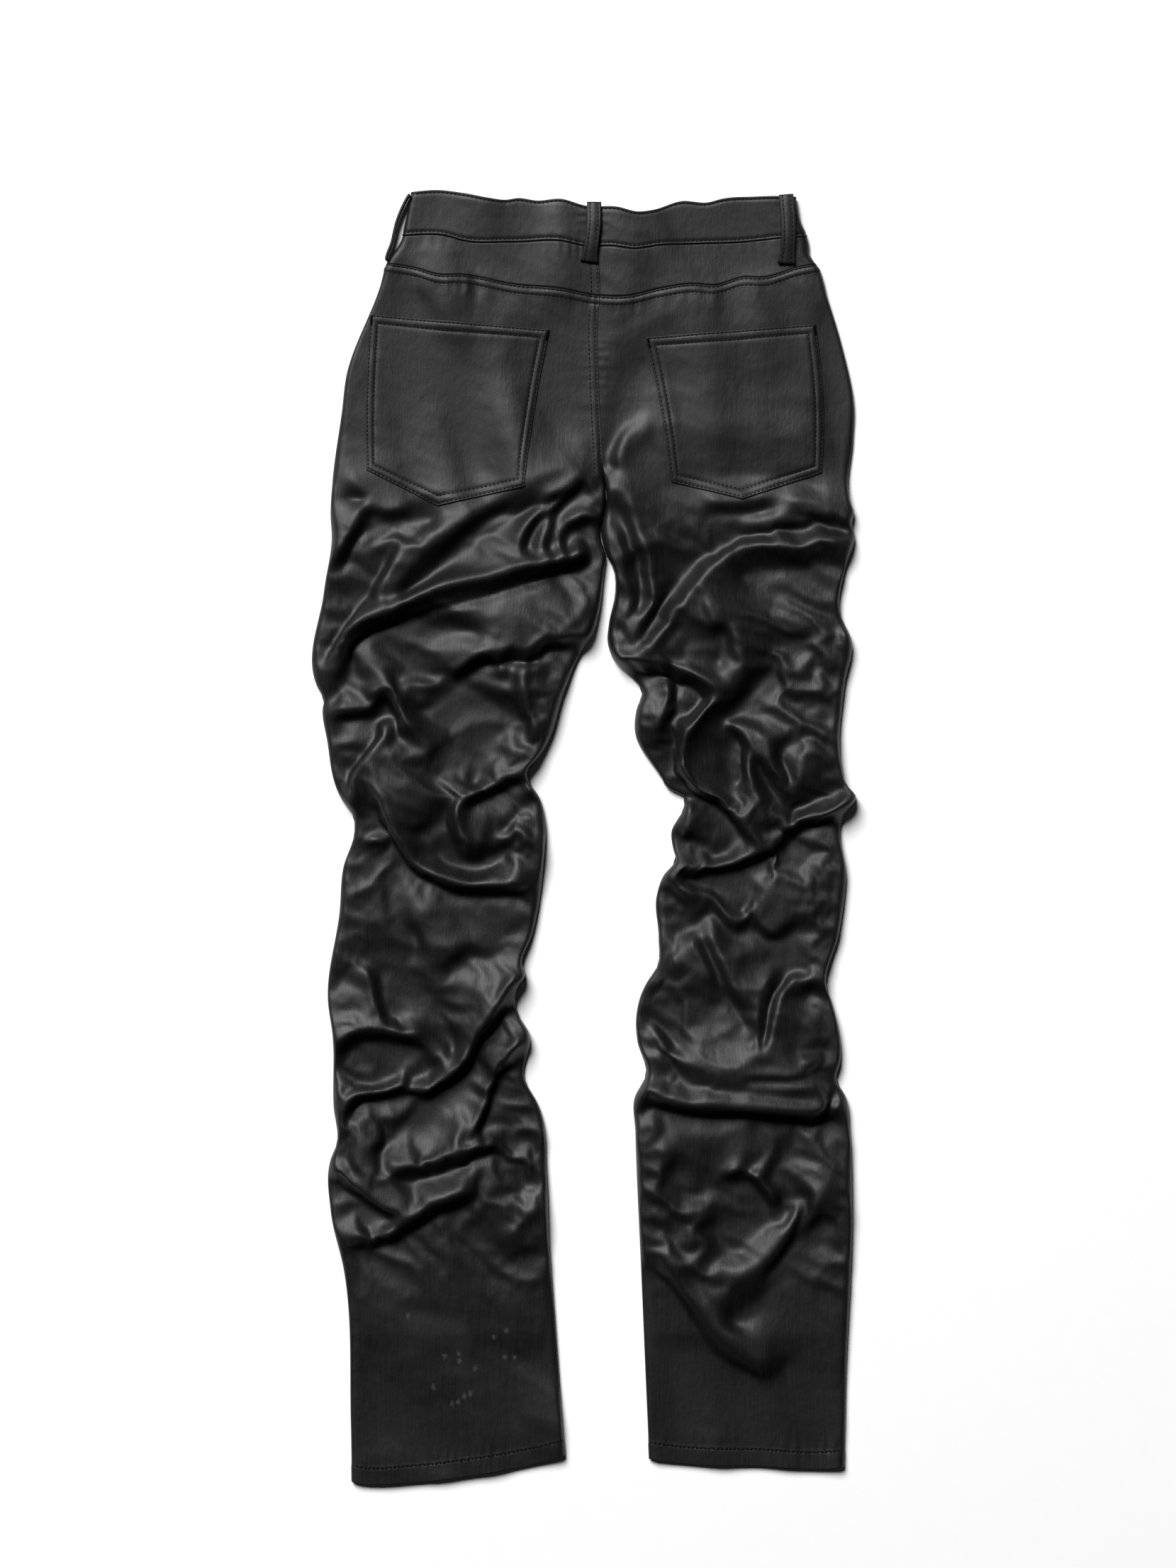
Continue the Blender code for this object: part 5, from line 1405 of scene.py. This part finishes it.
def stitches(line, up, length=2.7, gap=0.75, width=1.0, height=0.5, lean=0.0):
    """Thread along a line of points: short arched capsules, each sunk into the cloth at its
    ends. lean turns every other stitch to one side, as in a zigzag."""
    run = np.r_[0, np.cumsum(np.linalg.norm(np.diff(line, axis=0), axis=1))]
    count = int(run[-1] / (length + gap))
    centre = (np.arange(count) + 0.5) * run[-1] / count

    def along(values, s):
        return np.stack([np.interp(s, run, values[:, k]) for k in range(3)], 1)

    middle, normal = along(line, centre), along(up, centre)
    ahead = along(line, centre + length / 2) - along(line, centre - length / 2)
    ahead /= np.linalg.norm(ahead, axis=1, keepdims=True)
    normal -= ahead * (ahead * normal).sum(1, keepdims=True)
    normal /= np.linalg.norm(normal, axis=1, keepdims=True)
    sideways = np.cross(normal, ahead)
    if lean:
        turn = lean * np.where(np.arange(count) % 2, 1, -1)[:, None]
        ahead = ahead * np.cos(turn) + sideways * np.sin(turn)
        sideways = np.cross(normal, ahead)
    angle = np.arange(STITCH_SIDES) / STITCH_SIDES * 2 * math.pi
    swell = np.sqrt(np.clip(1 - STITCH_RINGS**2, 0.02, 1))
    t = np.repeat(STITCH_RINGS, STITCH_SIDES)
    s = np.outer(swell, np.cos(angle)).ravel() * width / 2
    h = np.outer(swell, np.sin(angle)).ravel() * height / 2 + (1 - t**2) * height / 2
    points = (middle[:, None] + ahead[:, None] * (t * length / 2)[:, None]
              + sideways[:, None] * s[:, None] + normal[:, None] * h[:, None])
    faces, rings = [], len(STITCH_RINGS)
    for r in range(rings - 1):
        for k in range(STITCH_SIDES):
            a, b = r * STITCH_SIDES + k, r * STITCH_SIDES + (k + 1) % STITCH_SIDES
            faces.append([a, b, b + STITCH_SIDES, a + STITCH_SIDES])
    faces.append(list(range(STITCH_SIDES))[::-1])
    faces.append([(rings - 1) * STITCH_SIDES + k for k in range(STITCH_SIDES)])
    each = rings * STITCH_SIDES
    everything = [[v + n * each for v in face] for n in range(count) for face in faces]
    return points.reshape(-1, 3), everything


def thread_piece(name, rows):
    """One piece of thread from several rows of stitches."""
    points, faces, first = [], [], 0
    for p, f in rows:
        points.append(p)
        faces += [[v + first for v in face] for face in f]
        first += len(p)
    return finish_piece(to_mesh(name, np.concatenate(points), faces, THREAD), "coated_denim")


def sewn(back, x, y, lift, **style):
    """A row of stitches along (x, y), a lift above the back's face."""
    x, y = np.asarray(x, float), np.asarray(y, float)
    return stitches(back.on(x, y, np.full(x.shape, lift)), back.facing(x, y), **style)


# ---- belt loops and button

def belt_loop(name, centre_line):
    """A strip of folded cloth with two sewn grooves, sewn down at both ends and bowed up."""
    line = smooth_line(centre_line, 12)
    ahead = np.gradient(line, axis=0)
    across = np.stack([-ahead[:, 1], ahead[:, 0]], 1)
    across /= np.linalg.norm(across, axis=1, keepdims=True)
    shares = np.array([share for share, _ in LOOP_PROFILE])
    thick = LOOP_THICK * np.array([part for _, part in LOOP_PROFILE])
    down = np.linspace(0, 1, len(line))
    width = LOOP_WIDTH * (1 + LOOP_FLARE * np.exp(-((down - 1) / LOOP_FLARE_REACH) ** 2))
    flat = line[:, None] + across[:, None] * (shares * width[:, None])[..., None]
    seat = ALL_BACK.on(flat[..., 0], flat[..., 1])[..., 2].max(1)
    around = max(3, round(LOOP_SEAT / (WAIST_HEIGHT / len(line))))
    seat = np.array([seat[max(0, k - around):k + around + 1].max() for k in range(len(seat))])
    even = np.ones(2 * around + 1)
    seat = np.convolve(np.pad(seat, around, "edge"), even, "valid") / len(even)
    bow = LOOP_ARCH * np.sin(math.pi * down) ** LOOP_SPRING
    low = (seat + LAID_GAP + bow)[:, None]
    inner = np.dstack([flat, np.repeat(low, len(shares), 1)])
    outer = np.dstack([flat, low + thick])
    up = np.tile((0.0, 0.0, 1.0), (len(line), 1))
    rows = [stitches(outer[:, k], up, **LOOP_STYLE) for k in LOOP_ROWS]
    return (cloth_piece(name, outer[:, ::-1], inner[:, ::-1]),
            thread_piece(f"{name}_thread", rows))


def side_loop(name):
    """The loop at the left side of the waist, bowed outwards, its width standing upright."""
    t = np.linspace(0, 1, SIDE_LOOP_ROWS)
    y = SIDE_LOOP_Y[0] + (SIDE_LOOP_Y[1] - SIDE_LOOP_Y[0]) * t
    x = curve_through(LEFT_SIDE, y) - LAID_GAP - SIDE_LOOP_BOW * np.sin(math.pi * t) ** LOOP_SPRING
    low, high = SIDE_LOOP_Z
    ahead = np.gradient(np.column_stack([x, y]), axis=0)
    outwards = np.stack([ahead[:, 1], -ahead[:, 0]], 1)
    outwards /= np.linalg.norm(outwards, axis=1, keepdims=True)
    inner, outer = [], []
    for share, part in LOOP_PROFILE:
        z = np.full(len(t), (low + high) / 2 + share * (high - low))
        inner.append(np.column_stack([x, y, z]))
        outer.append(np.column_stack([x + outwards[:, 0] * LOOP_THICK * part,
                                      y + outwards[:, 1] * LOOP_THICK * part, z]))
    return cloth_piece(name, np.stack(outer, 1), np.stack(inner, 1))


def waist_button():
    """The waist button: a plain dished cap with a rolled rim, turned about its middle."""
    turns = BUTTON_TURNS
    centre_y = waist_front_top(BUTTON_X) - WAIST_HEIGHT / 2
    angle = np.arange(turns) / turns * 2 * math.pi
    ring = BUTTON_PROFILE[1:-1]
    points = [(BUTTON_X, centre_y, BUTTON_PROFILE[0][1])]
    for radius, z in ring:
        points += [(BUTTON_X + radius * math.cos(a), centre_y + radius * math.sin(a), z)
                   for a in angle]
    points.append((BUTTON_X, centre_y, BUTTON_PROFILE[-1][1]))
    faces = []
    for k in range(turns):
        n = (k + 1) % turns
        faces.append([0, 1 + k, 1 + n])
        for r in range(len(ring) - 1):
            a, b = 1 + r * turns, 1 + (r + 1) * turns
            faces.append([a + k, b + k, b + n, a + n])
        last = 1 + (len(ring) - 1) * turns
        faces.append([last + n, last + k, len(points) - 1])
    return finish_piece(to_mesh("waist_button_cap", points, faces, METAL), "button_metal",
                        "waist_button")


# ---- the garment

fronts = {side: front_panel(side) for side in LEGS}
backs = {side: back_panel(side) for side in LEGS}
yokes = {side: yoke(side) for side in LEGS}
waist = back_waistband()
front_waists = {side: front_waistband(side) for side in LEGS}
pockets = {side: patch_pocket(side) for side in LEGS}
loops = {"belt_loop_centre": belt_loop("belt_loop_centre", CENTRE_LOOP),
         "belt_loop_right": belt_loop("belt_loop_right", RIGHT_LOOP),
         "belt_loop_left": (side_loop("belt_loop_left"), None)}
waist_button()

threads = {}
for side in LEGS:
    leg, back = LEGS[side], HALF_BACK[side]
    x = stepped(*YOKE_THREAD[side])
    rows = [sewn(back, x, yoke_seam(x) - inset, SINK) for inset in TWIN_NEEDLE]
    if side == "left":
        for ends in CENTRE_THREADS:
            y = stepped(*ends)
            rows += [sewn(back, curve_through(CENTRE_SEAM, y) - inset, y, SINK)
                     for inset in TWIN_NEEDLE]
    low, high = edges_at(leg, HEM_Y)
    x = stepped(min(low, high) + 3, max(low, high) - 3)
    hem = sewn(back, x, curve_through(leg.hem, x) + HEM_STITCH, SINK, **HEM_STYLE)
    threads[side] = [thread_piece(f"seam_thread_{side}", rows),
                     thread_piece(f"hem_thread_{side}", [hem])]
    pocket, name = POCKETS[side], f"pocket_{side}"
    width, depth, _ = pocket_form(pocket)
    lift = LAID_GAP + POCKET_CLOTH - STITCH_DENT + SINK
    rows = [sewn(back, *inset_outline(pocket, inset), lift) for inset in TWIN_NEEDLE]
    v = (TACK_START + stepped(0, TACK_LENGTH, TACK_STEP)) / depth
    for u in (TWIN_NEEDLE[0] / width, 1 - TWIN_NEEDLE[0] / width):
        rows.append(sewn(back, *pocket_place(pocket, np.full(v.shape, u), v),
                         lift + TACK_LIFT, **TACK))
    threads[name] = [thread_piece(f"{name}_thread", rows)]
x, low_x = stepped(*WAIST_TOP_THREAD), stepped(*WAIST_SEAM_THREAD)
threads["waist"] = [thread_piece("waist_thread", [
    sewn(ALL_BACK, x, waist_top(x) - WAIST_STITCH, SINK),
    sewn(ALL_BACK, low_x, waist_seam(low_x) + WAIST_STITCH, SINK)])]

# ---- what each sheet was cut to, in metres

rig.sheet(backs["left"], flat=(0.240, 1.16), held="laid", area=0.219,
         rests_on=["front_left_cloth"], with_pieces=threads["left"])
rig.sheet(backs["right"], flat=(0.240, 1.16), held="laid", area=0.215,
         rests_on=["front_right_cloth"], with_pieces=threads["right"])
for side in LEGS:
    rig.sheet(fronts[side], flat=(0.23, 1.07), held="laid", area=0.19, rests_on=["floor"])
    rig.sheet(yokes[side], flat=(0.19, 0.05), held="laid", area=0.0065,
             rests_on=[f"front_{side}_cloth"])
    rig.sheet(front_waists[side], flat=(0.18, 0.036), held="laid", rests_on=["floor"])
    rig.sheet(pockets[side], flat=(0.15, 0.16), held="laid", area=0.0195,
             rests_on=[f"back_{side}_cloth"], with_pieces=threads[f"pocket_{side}"])
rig.sheet(waist, flat=(0.36, 0.038), held="laid", rests_on=["yoke_left_cloth"],
         with_pieces=threads["waist"])
for loop, loop_thread in loops.values():
    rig.sheet(loop, flat=(0.0118, 0.055), held="laid", rests_on=["waistband_back_cloth"],
             with_pieces=[loop_thread] if loop_thread else [])

# ---- floor, light and camera

floor_mesh = bpy.data.meshes.new("floor")
floor_mesh.from_pydata([(x * FLOOR_HALF, y * FLOOR_HALF, FLOOR_Z)
                        for x, y in ((-1, -1), (1, -1), (1, 1), (-1, 1))], [], [(0, 1, 2, 3)])
floor_mesh.materials.append(pale_floor())
floor = placed("floor", floor_mesh)
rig.stage(floor)

light = bpy.data.lights.new("window", "AREA")
light.shape, light.size, light.energy = "DISK", WINDOW_SIZE, WINDOW_POWER
window = placed("window", light)
window.location = WINDOW_PLACE
window.rotation_euler = (-Vector(WINDOW_PLACE)).to_track_quat("-Z", "Y").to_euler()

world = bpy.data.worlds.new("studio")
bpy.context.scene.world = world
world.use_nodes = True
background = world.node_tree.nodes["Background"]
background.inputs["Color"].default_value = rgb(1, 1, 1)
background.inputs["Strength"].default_value = ROOM_LIGHT

camera_data = bpy.data.cameras.new("camera")
camera_data.sensor_fit = "VERTICAL"
camera_data.sensor_height = SENSOR
camera_data.lens = SENSOR * CAMERA_UP / PHOTO_HEIGHT
camera = placed("camera", camera_data)
camera.location = (CAMERA_X, CAMERA_Y, CAMERA_UP)
bpy.context.scene.camera = camera
bpy.context.scene.view_settings.view_transform = "Standard"

size = {"cad": [list(corner) for corner in cad_box],
        "visual": [list(corner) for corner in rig.bounds()]}
with open("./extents.json", "w") as file:
    json.dump(size, file)
